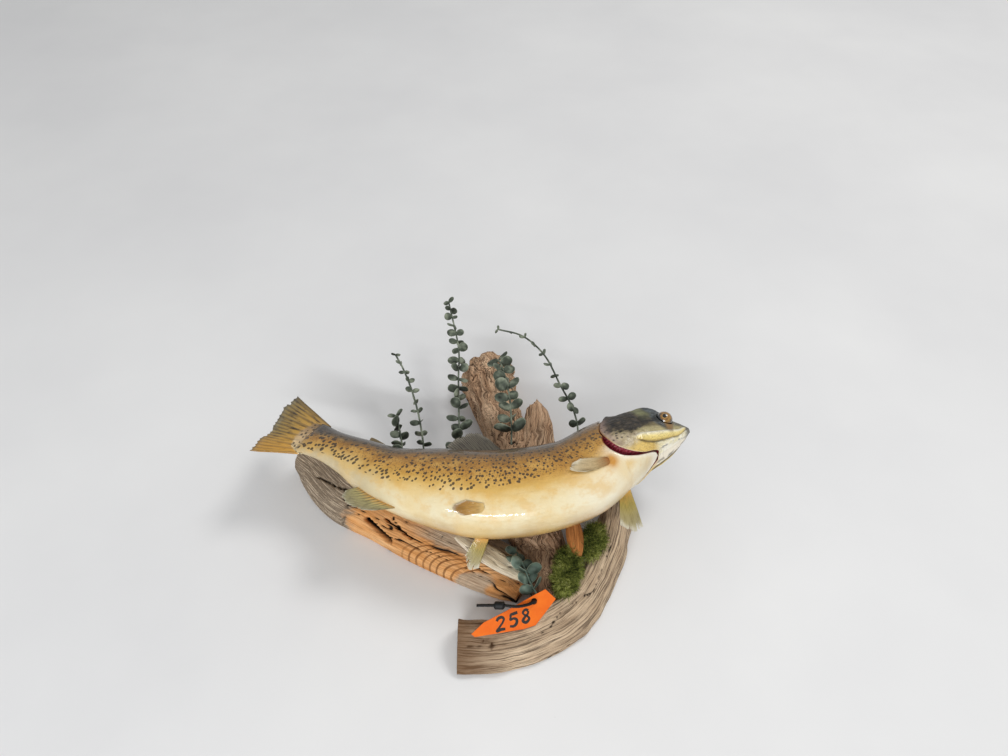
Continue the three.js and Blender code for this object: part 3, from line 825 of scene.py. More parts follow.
# %% Paint of the head
# Across the upper lip.
LIP = [
    (0.0, "efeada"), (0.16, "f2e7c0"), (0.4, "efda90"), (0.75, "dfc470"), (0.93, "86713a"),
    (1.0, "4a3f22"),
]


def head_grain(finish):
    """Fine and coarse mottling, streaks, and how far a point is below the dark crown."""
    turned, place = measure(finish)[1], finish.place()
    mottle, coarse = finish.uneven(place, 130, 4), finish.uneven(place, 48, 3)
    streak = finish.uneven(finish.vector("cloth"), (0.12, 0.4, 0.4), 4)
    line = turned + mottle * 0.22 + coarse * 0.16 + streak * 0.12
    return mottle, coarse, streak, line - finish.note("crown")


def head_paint(finish):
    """Dark crown, olive cheek, cream lip and jaw, pale gill cover with a pink rim."""
    at, turned, side = measure(finish)
    mottle, coarse, streak, below = head_grain(finish)
    ramp, layers, note = finish.ramp, finish.layers, finish.note
    both = mottle + streak + 0.5
    behind_eye = (at - 0.54).absolute().between(0.13, 0.04)
    behind_eye = behind_eye * (turned - 0.66).absolute().between(0.30, 0.1) * (mottle + 0.8)
    crown = ramp(both, (0.25, "100f0e"), (0.5, "2b2621"), (0.75, "554a3c"))
    crown = layers(crown, (behind_eye, "85875f"))
    olive = mottle * 1.3 + streak + 0.5
    cheek = ramp(olive, (0.2, "3e3820"), (0.42, "776c3a"), (0.6, "a99b5e"), (0.85, "d2c48e"))
    shadow = (below - 0.14).between(0.22, -0.05)
    shadow = shadow * (mottle * 2 + streak + 0.55).between(0.25, 0.7)
    cheek = layers(cheek, (shadow * 0.85, "5f5238"))
    cover = ramp(coarse + mottle * 0.5 + 0.5, (0.3, "9c8a66"), (0.6, "d2c39c"))
    yellow = (turned + coarse * 0.2).between(1.22, 1.42) * 0.85
    cover = layers(cover, (yellow, "e3bf62"), (shadow * 0.6, "8c7a66"))
    cover_mask = note("cover") * below.between(-0.02, 0.1)
    across = note("lip_across") + mottle * 0.15
    upper_band = across.within(-0.75, -0.45, 0.0, 0.2) * at.within(0.06, 0.2, 0.7, 0.86) * 0.7
    rough = coarse + mottle + 0.5
    chin = ramp(rough, (0.3, "eadfb6"), (0.6, "fdf8e6"))
    chin = layers(chin, (side.between(0.5, -0.5), "ece3d0"))
    # Painted shade: a broken dark line in the crease along the chin, beside the groove between the
    # jaws.
    jaw_crease_shade = (turned - 1.69).absolute().between(0.06, 0.01) * mottle.between(-0.05, 0.1)
    orbit = note("orbit")
    round_eye = ramp(rough, (0.3, "15181a"), (0.5, "2b3236"), (0.72, "5c6468"))
    round_mask = orbit * (0.8 + coarse + mottle).between(0.15, 0.55) * 0.94
    under_eye = orbit * turned.between(0.96, 1.08) * at.between(0.43, 0.38)
    snout = (at + mottle * 0.08 - (1.1 - turned).largest(0) * 0.12).between(0.15, 0.03)
    bridge = (1.24 - turned + mottle * 0.4).between(0.0, 0.25) * at.between(0.34, 0.24)
    rim = note("rim") * turned.within(0.55, 0.8, 1.1, 1.35)
    blot, lot = spots(finish, finish.cells(finish.vector("weave"), 0.21), 0.18, 0.2)
    blot = blot.between(-0.02, 0.06) * lot.between(0.12, 0.2) * turned.within(0.76, 0.86, 1.12, 1.22)
    return layers(
        layers(crown, (below.between(-0.04, 0.05), cheek)),
        (cover_mask, cover),
        (upper_band, "b8ab7e"),
        (note("lip"), ramp(across, *LIP)),
        (note("chin"), chin),
        (jaw_crease_shade * note("chin") * 0.7, "3a3026"),
        (round_mask, round_eye),
        (under_eye * 0.85, "94713f"),
        (snout * 0.88, "34332f"),
        (bridge * 0.85, "4c4a34"),
        (rim * 0.8, "a88f84"),
        (blot * 0.85 * note("cover"), "38342e"),
    )


# %% The varnished skin
def flesh(name):
    finish = Finish(name, roughness=0.42, coat=0.85, coat_roughness=0.04, specular=0.4)
    noise, note, relief = finish.noise, finish.note, finish.relief
    turned, cloth, place = measure(finish)[1], finish.vector("cloth"), finish.place()
    head, raw = note("head"), note("raw")
    mottle, _, _, below = head_grain(finish)
    gills = finish.ramp(noise(cloth, 0.5, 3), (0.3, "3a080e"), (0.5, "8a1f30"), (0.72, "b54a5c"))
    vein = finish.uneven(cloth, (0.09, 0.3, 0.3), 5, 0.65).absolute().between(0.022, 0.004)
    vein = vein * head * (1 - raw) * turned.between(1.75, 1.5)
    # Behind the gill slit: a white edge, then orange where the pectoral fin is set in.
    finish.paint(
        flank_paint(finish),
        (head, head_paint(finish)),
        (note("throat") * 0.8, "f3efe0"),
        (note("socket") * (1.2 + mottle), "c78a2a"),
        (raw, gills),
        (vein * 0.45, "4c4028"),
    )
    dull = (head * (below * -1).between(-0.05, 0.05)).largest(turned.between(0.45, 0.15) * 0.8)
    finish.set("Roughness", 0.45 - raw * 0.1 + finish.uneven(cloth, 0.22, 3) * 0.1 + dull * 0.1)
    wet_lip = note("lip").largest(note("chin"))
    finish.set("Coat Weight", 0.8 - raw * 0.4 - head * 0.62 - dull * 0.3 + wet_lip * 0.3)
    scales = finish.cells(finish.vector("weave"), 0.62, randomness=0.35)[0]
    relief(scales * (1 - head) * (1 - raw), 0.0003, 0.35)
    relief(noise(place, 260, 4, 0.65) * head, 0.0010, 0.7)
    # Runs and orange peel in the varnish, from long to short.
    relief(noise(cloth, (0.05, 0.16, 0.16), 3, 0.6, 0.8), 0.0030, 0.30)
    relief(noise(cloth, (0.09, 0.16, 0.16), 2), 0.0045, 0.32)
    relief(noise(cloth, 0.5, 3), 0.0006, 0.25)
    return finish.material


varnished = flesh("varnished_skin")
sided = [f"{bone}_{side}" for bone in ("maxilla", "gill_cover") for side in ("right", "left")]
hand_over(make_skin(), varnished, "skin", "head", "lower_jaw", *sided, "gills", "trunk", "tail")

# %% [markdown]
# ## Scales
# A trout's scales are small overlapping plates, sunk at the front and free at the back. Each one here
# is a real closed plate. They stand in rows across the body, every second row shifted by half a
# scale, and they read the same numbers and the same paint as the skin, so the markings run on
# without a break. Each scale also gets a tiny patch of its own on an unrolled map of the body.

# %% Plates over the trunk, in millimetres
SCALE = {"pitch": 2.7, "beside": 2.3, "long": 1.9, "wide": 1.4, "thick": 0.08}
SCALE_SUNK, SCALE_FREE, SCALE_RIM = 0.03, 0.08, 7
FIRST_SCALES, LAST_GAP, SHOULDER_GAP, SHARP = 92, 4, 5, math.radians(40)
# The unrolled map: its length in millimetres, its turns and the size of a scale's patch.
SHEET_LONG, SHEET_TURNS, SCALE_PATCH = 460, 2.05, 0.003


def scale_roots(side):
    """Distance from the snout and angle of every scale on one side."""
    roots = []
    for row, at in enumerate(np.arange(FIRST_SCALES, BODY_END - LAST_GAP, SCALE["pitch"])):
        arc = np.interp(at, MAP_AT, np.arange(len(MAP_AT)))
        i = int(arc)
        line = mix(UNROLLED[i], UNROLLED[i + 1], arc - i)
        count = int(line[-1] / SCALE["beside"])
        places = (np.arange(count) + 0.25 + 0.5 * (row % 2)) / count * line[-1]
        turned = np.interp(places, line, MAP_TURNS)
        turned = turned[at > shoulder_edge(np.radians(turned)) + SHOULDER_GAP]
        roots.append(stacked(float(at), turned))
    at, turned = np.concatenate(roots).T
    return at, np.radians(turned) * side


def scale_faces():
    """One plate: a fan on top, a rim of triangles, and a flat underside."""
    rim, low, plate = SCALE_RIM, SCALE_RIM + 1, []
    for k in range(rim):
        after = (k + 1) % rim
        plate += [[rim, k, after], [k, low + k, low + after], [k, low + after, after]]
        if 0 < k < rim - 1:
            plate.append([low, low + after, low + k])
    return np.array(plate)


def scale_coat(name, side):
    root_at, root_angle = scale_roots(side)
    behind = np.append(np.cos(circle(SCALE_RIM)), 0) * SCALE["long"]
    beside = np.append(np.sin(circle(SCALE_RIM)), 0) * SCALE["wide"]
    lift = mix(-SCALE_SUNK, SCALE_FREE, (behind / SCALE["long"] + 1) / 2)
    nudge = TURN_STEP / 2
    near = on_body(root_at, root_angle + nudge) - on_body(root_at, root_angle - nudge)
    at = root_at[:, None] + behind
    angle = root_angle[:, None] + beside * TURN_STEP / np.linalg.norm(near, axis=-1)[:, None]
    # The plate's top has a middle point; its underside is the rim again.
    twice = np.r_[0 : SCALE_RIM + 1, 0:SCALE_RIM]
    at, angle, lift = at[:, twice], angle[:, twice], lift[twice]
    lift[SCALE_RIM + 1 :] -= SCALE["thick"]
    points = on_body(at, angle, lift - SKIN_DEPTH)
    starts = np.arange(len(points))[:, None, None] * points.shape[1]
    faces = (scale_faces()[None] + starts).reshape(-1, 3)
    notes = flesh_notes(at, angle, on_body(at, angle, -SKIN_DEPTH), 0 * at)
    notes = {key: v.reshape(at.size, -1).squeeze() for key, v in notes.items()}
    piece = mesh_piece(name, points.reshape(-1, 3) * MM, faces.tolist(), notes)
    u = (root_at / SHEET_LONG)[:, None] + (behind / SCALE["long"])[twice] * SCALE_PATCH / 2
    v = (0.5 + root_angle / (SHEET_TURNS * np.pi))[:, None]
    v = v + (beside / SCALE["wide"])[twice] * SCALE_PATCH / 2
    corners = np.zeros(len(piece.data.loops), int)
    piece.data.loops.foreach_get("vertex_index", corners)
    patch = np.stack([u, v], -1).reshape(-1, 2)[corners].astype(np.float32)
    piece.data.uv_layers.new(name="OFBake").data.foreach_set("uv", patch.ravel())
    outward(piece).data.set_sharp_from_angle(angle=SHARP)
    return piece


for name, side in (("scales_right", 1), ("scales_left", -1)):
    hand_over(scale_coat(name, side), varnished, "skin")

# %% [markdown]
# ## Glass eyes
# A taxidermist sets a painted glass dome into the socket. It is a ball here, turned a little to the
# belly and to the tail. Its iris is painted by the angle from the pupil: a small black pupil, a
# bright thin ring, an amber iris with darker streaks, and a dark rim. A clear coat gives the wet
# glint.


# %% The two eyes
PUPIL, EYE_RIM, EYE_BACK = 17.0, 84.0, 125
EYE_RINGS, EYE_SPOKES = 60, 96
EYE_DOWN, EYE_AFT = 0.42, 0.26
IRIS = [
    (0.0, "050505"), (0.18, "090705"), (0.21, "c09850"), (0.27, "84571c"), (0.44, "a47c36"),
    (0.60, "86622a"), (0.76, "4e3a1e"), (0.92, "1c1812"),
]


def glass(name):
    finish = Finish(name, roughness=0.25, coat=1.0, coat_roughness=0.02, specular=0.6)
    out = finish.note("iris")
    around = finish.vector("spokes")
    streaks, blot = finish.uneven(around, 5.0, 4), finish.uneven(around, 1.6, 2)
    shade = (blot + streaks).between(0.0, 0.2) * out.between(0.22, 0.36)
    towards_head = finish.parts(around)[0]
    # Painted shade: a dark blue-grey crescent over the rear of the iris, as if the socket's lip shaded
    # it.
    rear_shade = (streaks * 0.5 - towards_head).between(0.25, 0.75) * out.between(0.30, 0.46)
    ring = finish.ramp(out + streaks * 0.07, *IRIS)
    finish.paint(ring, (shade * 0.75, "3b2612"), (rear_shade, "1d242a"))
    return finish.material


def make_eye(name, side):
    axis, centre = gaze(side, EYE_DOWN, EYE_AFT), eye_centre(side)
    forward = unit(np.cross(np.cross(axis, spine(EYE["at"])[1]), axis))
    upward = np.cross(axis, forward)
    lean = np.radians(np.linspace(0.5, EYE_BACK, EYE_RINGS))[:, None]
    turn = circle(EYE_SPOKES)[None, :]
    radius = EYE["radius"] * (1 + 0.02 * bump(np.degrees(lean), 0, 30))
    outwards = np.cos(turn)[..., None] * forward + np.sin(turn)[..., None] * upward
    way = np.cos(lean)[..., None] * axis + np.sin(lean)[..., None] * outwards
    # The pupil is a little longer towards the head.
    egg = PUPIL * (1 + 0.18 * np.maximum(0, np.cos(turn)) ** 3)
    lean_to = np.degrees(lean) + (PUPIL - egg) * step(60, 20, np.degrees(lean))
    spokes = stacked(np.cos(turn), np.sin(turn), lean * 0.35 + side).reshape(-1, 3)
    notes = {
        "iris": np.append(lean_to / EYE_RIM, (0, 2)),
        "spokes": np.concatenate([spokes, np.zeros((2, 3))]),
    }
    tips = [centre + axis * EYE["radius"] * 1.02, centre - axis * EYE["radius"] * 0.6]
    return outward(tube(name, centre + radius[..., None] * way, tips, notes))


for name, side in (("eye_right", 1), ("eye_left", -1)):
    hand_over(make_eye(name + "_glass", side), glass(name + "_paint"), "eye", name)

# %% [markdown]
# ## Fins
# A dried fin is a thin sheet stiffened by bony rays. Each one is a closed blade between its first and
# last ray, with a ridge along every ray, notches between their tips and a thin rim. Its own points
# carry how far they are across the rays and along them, so that the paint can follow the rays.

# %% The rays that bound each fin
# Paint, number of rays, whether it hugs the flank, and the bounding rays: each is a root and a tip.
# A point is distance from the snout, height to the back and offset to the right. On the flank it is
# distance from the snout, degrees from the back and lift off the skin.
FINS = {
    "dorsal_fin": ("grey", 13, False, [
        (208, 50, 0, 230, 72, 4), (224, 50, 0, 270, 88, 9), (248, 50, 0, 287, 80, 8),
        (270, 47, 0, 300, 63, 4),
    ]),
    "adipose_fin": ("adipose", 0, False, [
        (364, 33, 0, 378, 38, 0), (373, 31, 0, 397, 39, 0), (381, 29, 0, 398, 34, 0),
    ]),
    "anal_fin": ("anal", 11, False, [
        (324, -40, 0, 340, -53, 1), (336, -37, 0, 352, -58, 1), (350, -33, 0, 366, -54, 0),
        (362, -30, 0, 370, -44, 0),
    ]),
    "caudal_fin": ("golden", 9, False, [
        (444, 27, 0, 512, 56, 0), (452, 20, 0, 513, 33, 0), (456, 7, 0, 504, 8, 0),
        (456, -7, 0, 499.5, -12, 0), (452, -20, 0, 499, -30, 0), (444, -27, 0, 496, -49, 0),
    ]),
    "pelvic_fin_right": ("ochre", 9, True, [
        (239, 140, 0.2, 255, 138, 1.6), (238, 144, 0.4, 264, 146, 2.4),
        (238, 148, 0.4, 265, 152, 2.6), (240, 152, 0.2, 256, 159, 1.8),
    ]),
    "pelvic_fin_left": ("worn", 9, False, [
        (236, -50, -16, 242, -70, -37), (241, -46, -20, 250, -64, -46),
        (246, -43, -22, 254, -54, -39),
    ]),
    "pectoral_fin_right": ("tan", 12, True, [
        (125, 123, 0.2, 143, 104, 1.4), (125, 126, 0.5, 154, 106, 2.2),
        (126, 129, 0.5, 157, 113, 2.4), (128, 132, 0.2, 148, 122, 1.6),
    ]),
    "pectoral_fin_left": ("worn", 12, False, [
        (112, -44, -14, 129, -75, -38), (116, -40, -18, 135, -70, -43),
        (120, -35, -22, 138, -54, -42),
    ]),
}
# Colours from a fin's root to its tip, its rays, how worn it is and how clear.
FIN_PAINTS = {
    "grey": (("4a443a", "67604f", "7c7465"), "35302a", 0.15, 1.0),
    "adipose": (("4b4333", "5f543c", "77643e"), "4a4030", 0.0, 1.0),
    "anal": (("dc9a3c", "b2a66c", "a49c78"), "6f6644", 0.25, 0.92),
    "golden": (("c89c50", "bc923e", "857448"), "38280f", 0.1, 1.0),
    "ochre": (("dfc07c", "c99a48", "a8772c"), "98702c", 0.45, 1.0),
    "worn": (("e0ac56", "bcaa5c", "e6dcb4"), "8c7c3a", 0.9, 0.86),
    "tan": (("ae7030", "d2b888", "ead9b2"), "8c744c", 0.55, 1.0),
}
STEPS_PER_RAY, FIN_STEPS, FIN_CLOTH, FEWEST_RIBS, FIN_STEP = 12, 44, 30, 3, 0.01
# Heights and half-thicknesses in millimetres, and where along the fin its rays fork.
RAY_RIDGE, FIN_ROOT_THICK, FIN_TIP_THICK = 0.30, 1.05, 0.3
FORK_FROM, FORK_TO = 0.35, 0.75
print("fins:", *FINS)


# %% A fin's blade
def fin_points(plan, across, out):
    """Points of the fin's middle sheet, read smoothly between the bounding rays."""
    _, _, on_flank, rays = plan
    table = [(i / (len(rays) - 1), *ray) for i, ray in enumerate(rays)]
    root, tip = ([smooth(table, across, k + more) for k in (1, 2, 3)] for more in (0, 3))
    if on_flank:
        at, turned, lift = [mix(a, b, out) for a, b in zip(root, tip)]
        return on_body(at, np.radians(turned), lift)
    return mix(in_fish(*root), in_fish(*tip), out[..., None])


def sheet_faces(wide, tall):
    """Two sheets of a grid, the second turned over, and a strip round their edge."""
    i, j = np.meshgrid(np.arange(wide - 1), np.arange(tall - 1), indexing="ij")
    a = i * tall + j
    quads = np.stack([a, a + tall, a + tall + 1, a + 1], -1).reshape(-1, 4)
    faces = np.concatenate([quads, quads[:, ::-1] + wide * tall]).tolist()
    rim = [k * tall for k in range(wide)] + [(wide - 1) * tall + k for k in range(1, tall)]
    rim += [k * tall + tall - 1 for k in range(wide - 2, -1, -1)] + list(range(tall - 2, 0, -1))
    for here, there in zip(rim, rim[1:] + rim[:1]):
        faces.append([here, there, there + wide * tall, here + wide * tall])
    return faces


def make_fin(name, plan):
    paint, count, on_flank, _ = plan
    rayed, ribs = count > 0, max(count, FEWEST_RIBS)
    across = np.linspace(0, 1, ribs * STEPS_PER_RAY + 1)[:, None]
    across, rise = np.broadcast_arrays(across, np.linspace(0, 1, FIN_STEPS)[None, :])
    seed = sum(map(ord, name))
    ripple = field(stacked(across * FIN_CLOTH, 0.0, 0.0), 2.1, seed)
    tear = field(stacked(across * FIN_CLOTH, 0.0, 0.0), 0.8, seed + 3)
    notch = np.abs(np.sin(across * np.pi * ribs * 2)) ** 0.6
    worn = 0.22 * FIN_PAINTS[paint][2]
    ragged = 0.022 * notch + 0.022 * np.maximum(0, ripple)
    ragged = ragged + worn * np.maximum(0, tear + ripple - 0.1)
    out = rise * (1 - ragged * rayed)
    middle = fin_points(plan, across, out)
    right, left = (fin_points(plan, across + more, out) for more in (FIN_STEP, -FIN_STEP))
    outer, inner = (fin_points(plan, across, out + more) for more in (FIN_STEP, -FIN_STEP))
    face = unit(np.cross(right - left, outer - inner))
    # Every ray forks once on its way out.
    single = np.abs(np.cos(across * np.pi * ribs)) ** 4
    double = np.abs(np.cos(across * np.pi * ribs * 2)) ** 4
    ridge = mix(single, double, step(FORK_FROM, FORK_TO, out)) * RAY_RIDGE * rayed
    half = mix(FIN_ROOT_THICK, FIN_TIP_THICK, np.minimum(1, out * 1.3))
    half = half * (0.45 + 0.55 * np.sin(np.pi * np.clip(across, 0.03, 0.97)) ** 0.3)
    sway = field(middle, 16, seed + 1) * 0.8 * out * (not on_flank)
    top = middle + face * (sway + half + ridge)[..., None]
    under = middle + face * (sway - half - ridge)[..., None]
    flat = np.concatenate([top.reshape(-1, 3), under.reshape(-1, 3)]) * MM
    ray = stacked(across * ribs, out, float(rayed)).reshape(-1, 3)
    cloth = stacked(across * FIN_CLOTH, out * FIN_CLOTH, float(seed % 50)).reshape(-1, 3)
    notes = {"ray": np.concatenate([ray, ray]), "cloth": np.concatenate([cloth, cloth])}
    return outward(mesh_piece(name + "_dressed", flat, sheet_faces(*across.shape), notes))


# %% A fin's paint
def fin_skin(name, tones, ink, worn, alpha):
    finish = Finish(name, roughness=0.45, coat=0.5, coat_roughness=0.12, specular=0.4)
    across, out, rayed = finish.parts(finish.vector("ray"))
    cloth = finish.vector("cloth")
    cloud, grain = finish.uneven(cloth, 0.16, 3), finish.uneven(cloth, 0.7, 3)
    wave = (across * math.pi).cosine().absolute()
    fork = (across * (2 * math.pi)).cosine().absolute()
    split = out.between(FORK_FROM, FORK_TO)
    lines = (wave**4) * (1 - split) + (fork**4) * split
    gaps = finish.uneven(cloth, (0.9, 0.12, 1), 4)
    inked = (lines * 0.8 + gaps.between(0.0, 0.12) * 0.6) * rayed * out.between(0.02, 0.2)
    tip = (out + cloud * 0.35 + grain * 0.2).between(0.80, 0.99) * worn
    finish.paint(
        finish.ramp(out + cloud * 0.3, *zip((0.0, 0.4, 0.95), tones)),
        (inked * (0.75 + cloud), ink),
        ((grain + 0.5).between(0.62, 0.72) * 0.35, ink),
        (tip, "efe9d4"),
    )
    if alpha < 1:
        finish.set("Alpha", 1 - (1 - lines) * out.between(0.3, 0.8) * (1 - alpha) * 3)
    finish.relief(lines * rayed, 0.0006, 0.6)
    finish.relief(grain, 0.0004, 0.4)
    return finish


def scaly_root(finish, rays):
    """The tail fin: scaly flesh runs onto its root, and its lower lobe is more golden."""
    across, out, _ = finish.parts(finish.vector("ray"))
    cloth = finish.vector("cloth")
    share = across / rays
    rough = finish.uneven(cloth, 0.35, 4)
    reach = 0.25 - (share - 0.55) * (share - 0.55) * 0.9
    stops = (0.1, "6b543a"), (0.4, "a98a62"), (0.65, "cdb084"), (0.95, "e2cd9e")
    distance, lot = finish.cells(cloth, 0.5, flat=False)
    spot = (0.30 + lot[0] * 0.2 - distance).between(-0.02, 0.06) * lot[1].between(0.25, 0.35)
    flesh_tone = finish.layers(finish.ramp(share + rough * 0.3, *stops), (spot * 0.85, "35291c"))
    finish.paint(
        finish.painted(),
        (share.between(0.55, 0.9) * 0.45, "d69a38"),
        (share.between(0.10, 0.0) * 0.7, "5b4a2c"),
        ((out + rough * 0.1).between(0.9, 0.98) * 0.5, "4d4630"),
        ((reach - out + rough * 0.16).between(-0.03, 0.04), flesh_tone),
    )


fin_finishes = {key: fin_skin("fin_" + key, *facts) for key, facts in FIN_PAINTS.items()}
scaly_root(fin_finishes["golden"], FINS["caudal_fin"][1])
for name, plan in FINS.items():
    hand_over(make_fin(name, plan), fin_finishes[plan[0]].material, "fin", name)

# %% [markdown]
# ## Driftwood
# The base is four pieces of old wood. Each is a tube through stations along the piece, flat below,
# with its surface weathered in two ways: long grooves and cracks that follow the grain are real
# relief, and the finest fibres are left to the material. Both read the same two numbers, the distance
# along the piece and round it, so that the painted shade of a crack, near black, sits in the crack.

# %% Stations of the wood: X, Y, half width, height of the left and of the right edge
UNDERCUT, WOOD_ROUND, WOOD_STEP = 2.2, 150, 1.3
LOGS = {
    "plank": [
        (-197, 108, 17, 38, 32), (-174, 88, 27, 42, 33), (-141, 55, 30, 42, 30),
        (-97, 30, 29, 41, 26), (-52, 4, 30, 41, 25), (3, -24, 29, 40, 24),
        (43, -43, 26, 37, 23), (60, -54, 19, 30, 20),
    ],
    "branch": [
        (-8, -119.5, 24.5, 36, 9), (26, -120, 23.5, 37, 12), (61, -113, 22, 37, 14),
        (92, -99, 21, 38, 16), (116, -79, 19, 38, 18), (136, -48, 18.5, 38, 20),
        (151, -13, 18.5, 38, 22), (161, 20, 18, 37, 24), (166, 43, 14, 32, 24),
    ],
    "root": [
        (9, 256, 24, 42, 44), (16, 239, 36, 48, 50), (22, 212, 33, 46, 50),
        (30, 178, 28, 44, 47), (42, 135, 24, 42, 44), (49, 95, 24, 39, 40),
        (55, 55, 26, 38, 38), (70, 10, 29, 38, 38), (80, -30, 25, 38, 40),
        (80, -66, 14, 36, 38), (82, -85, 9, 30, 32),
    ],
    "stub": [
        (75, 188, 4, 40, 38), (76, 177, 11, 43, 42), (77, 158, 18, 43, 43),
        (76, 134, 23, 40, 41), (75, 114, 24, 38, 40), (72, 92, 20, 36, 37),
    ],
}
# Seed, height of the foot as a share of the edge, depth of the grooves, swirl of the grain and
# length of the broken end.
WOOD_FACTS = {
    "plank": (17, 0.3, 0.7, 2.0, 1.5),
    "branch": (7, 0.25, 1.0, 4.0, 0.0),
    "root": (27, 0.35, 1.5, 11.0, 9.0),
    "stub": (37, 0.4, 1.6, 4.0, 17.0),
}
# Slots cut into the plank: where each starts and ends, and half its width.
SLOTS = [
    ((-113, 17), (-86, -7), 2.6),
    ((-92, 15), (-62, -8), 1.0),
    ((-174, 68), (-146, 52), 0.9),
    ((-146, 52), (-124, 45), 1.3),
    ((-160, 13), (-138, 22), 1.0),
]
SLOT_DEPTH = 13


# %% The plain surface of a log, and its weathering
def log_points(stations, foot, along, angle):
    """Points of a log's plain surface; `along` counts the stations and `angle` starts at the top."""
    table = [(i, *row) for i, row in enumerate(stations)]
    ahead = [smooth(table, along + 0.1, k) - smooth(table, along - 0.1, k) for k in (1, 2)]
    ahead = unit(stacked(*ahead, 0.0))
    left = stacked(-ahead[..., 1], ahead[..., 0], 0.0)
    here = stacked(smooth(table, along, 1), smooth(table, along, 2), 0.0)
    z, across = np.cos(angle), swell(np.sin(angle), 0.75)
    top = mix(smooth(table, along, 5), smooth(table, along, 4), (across + 1) / 2)
    low = top * foot
    upper = mix(low, top, np.maximum(z, 0) ** 0.7)
    points = here + left * (across * smooth(table, along, 3))[..., None]
    points[..., 2] = np.where(z > 0, upper, np.maximum(0, low * (1 + UNDERCUT * z)))
    return points, ahead


def weathering(run, round_at, seed, rough, swirl=3.0):
    """Relief of old wood in millimetres, from the distance along it and round it."""
    place = stacked(run, round_at, 0.0)
    sway = swirl * field(place, 30, seed) + swirl * 0.4 * field(place, 11, seed + 9)
    grain, fine, split = (
        stacked(run / long, (round_at + sway) / wide, float(seed))
        for long, wide in ((42, 2.6), (16, 1.3), (60, 6.0))
    )
    ridges = 0.55 * field(grain, 1, seed) + 0.3 * field(fine, 1, seed + 1)
    some = step(-0.3, 0.25, field(split * 0.35, 1, seed + 3))
    cracks = bump(field(split, 1, seed + 2), 0, 0.055) * some
    return rough * (ridges - 0.3) - 2.8 * cracks, cracks


def near_line(points, start, end):
    """Distance in the plane of the table from each point to a straight line between two places."""
    start, way = np.array(start, float), np.subtract(end, start).astype(float)
    offset = points[..., :2] - start
    share = np.clip(offset @ way / (way @ way), 0, 1)
    return np.linalg.norm(offset - share[..., None] * way, axis=-1)


print("grooves and cracks:", weathering(np.arange(3.0), np.arange(3.0), 1, 1.0)[0].round(2), "mm")


# %% One log, with its slots, knobs and broken end
def extras(name, points, along):
    """What one piece of wood has of its own: more relief, and where it gets painted shade, black as in
    a crack.
    """
    if name == "plank":
        cut = 0 * along
        for start, end, half in SLOTS:
            cut = np.maximum(cut, step(half, half * 0.55, near_line(points, start, end)))
        return -SLOT_DEPTH * cut, cut
    if name == "root":
        # It swells into knobs at its far end.
        knobby = 0.3 + 0.7 * step(3.4, 1.6, along)
        large = np.abs(field(points, 15, 61))
        knobs = large * 7 + np.abs(field(points, 6, 62)) * 3.2
        return knobby * (knobs - 5.5), step(0.10, 0.0, large) * knobby * 0.5
    if name == "stub":
        return 2.2 * field(points * (1, 0.25, 1), 5, 63) - 1.2, 0.0
    return 1.8 * field(points * (1, 1, 0.4), 17, 64), 0.0


def grain_notes(run, round_at, seed, cracks):
    """The grain and the cracks, for a tube with a tip at each end."""
    grain = stacked(run, round_at, float(seed)).reshape(-1, 3)
    grain = np.concatenate([grain, grain[:1], grain[-1:]])
    return {"grain": grain, "crack_shade": np.append(cracks, (0, 0))}


def ends_of(points):
    return [points[0].mean(0), points[-1].mean(0)]


def make_log(name):
    stations = LOGS[name]
    seed, foot, rough, swirl, splintered = WOOD_FACTS[name]
    path = np.array([row[:2] for row in stations], float)
    rows = int(np.linalg.norm(np.diff(path, axis=0), axis=1).sum() / WOOD_STEP)
    angle = circle(WOOD_ROUND) + 0.1 * np.sin(2 * circle(WOOD_ROUND))
    along, angle = np.broadcast_arrays(
        np.linspace(0, len(stations) - 1, rows)[:, None], angle[None, :]
    )
    points, ahead = log_points(stations, foot, along, angle)
    run = np.cumsum(np.linalg.norm(np.gradient(points, axis=0), axis=-1), axis=0)
    run = run.mean(axis=1, keepdims=True) + 0 * along
    gaps = np.linalg.norm(np.diff(points, axis=1, append=points[:, :1]), axis=-1)
    passed, whole = np.cumsum(gaps, axis=1) - gaps, gaps.sum(axis=1, keepdims=True)
    round_at = np.where(passed > whole / 2, passed - whole, passed)
    lift, cracks = weathering(run, round_at, seed, rough, swirl)
    more, cut = extras(name, points, along)
    normal = unit(np.cross(np.gradient(points, axis=0), np.gradient(points, axis=1)))
    middle = points.mean(axis=1, keepdims=True)
    inside = np.sum(normal * (points - middle), -1, keepdims=True) < 0
    normal = np.where(inside, -normal, normal)
    # Relief fades to nothing at the table and at both ends.
    ends = np.minimum(np.arange(rows), np.arange(rows)[::-1])[:, None] / 3.0
    lift = (lift + more) * step(0.5, 5, points[..., 2]) * np.minimum(1, ends)
    broken = 0.5 + 0.5 * field(stacked(0.0, round_at / 6, 0.0), 1, seed + 5)
    broken = splintered * broken**1.5 * step(26, 2, run)
    points = points + normal * lift[..., None] + ahead * broken[..., None]
    points[..., 2] = np.maximum(points[..., 2], 0)
    # Cracks, the plank's slots and the root's hollows between knobs get painted shade.
    notes = grain_notes(run, round_at, seed, np.maximum(cracks, cut))
    return outward(tube(name + "_wood", points, ends_of(points), notes))


# %% Wood finishes
# Places on the plank, in metres: the first ring, the way along it, a patch of bark, the grey end.
RING_CENTRE, RING_GAP, RING_BEND = (-0.060, -0.027), 0.0085, 55.0
PLANK_WAY = (0.88, -0.475)
BARK, BARK_STRETCH = (-0.006, -0.056), (0.22, 2.5)
BUTT_END = -0.140


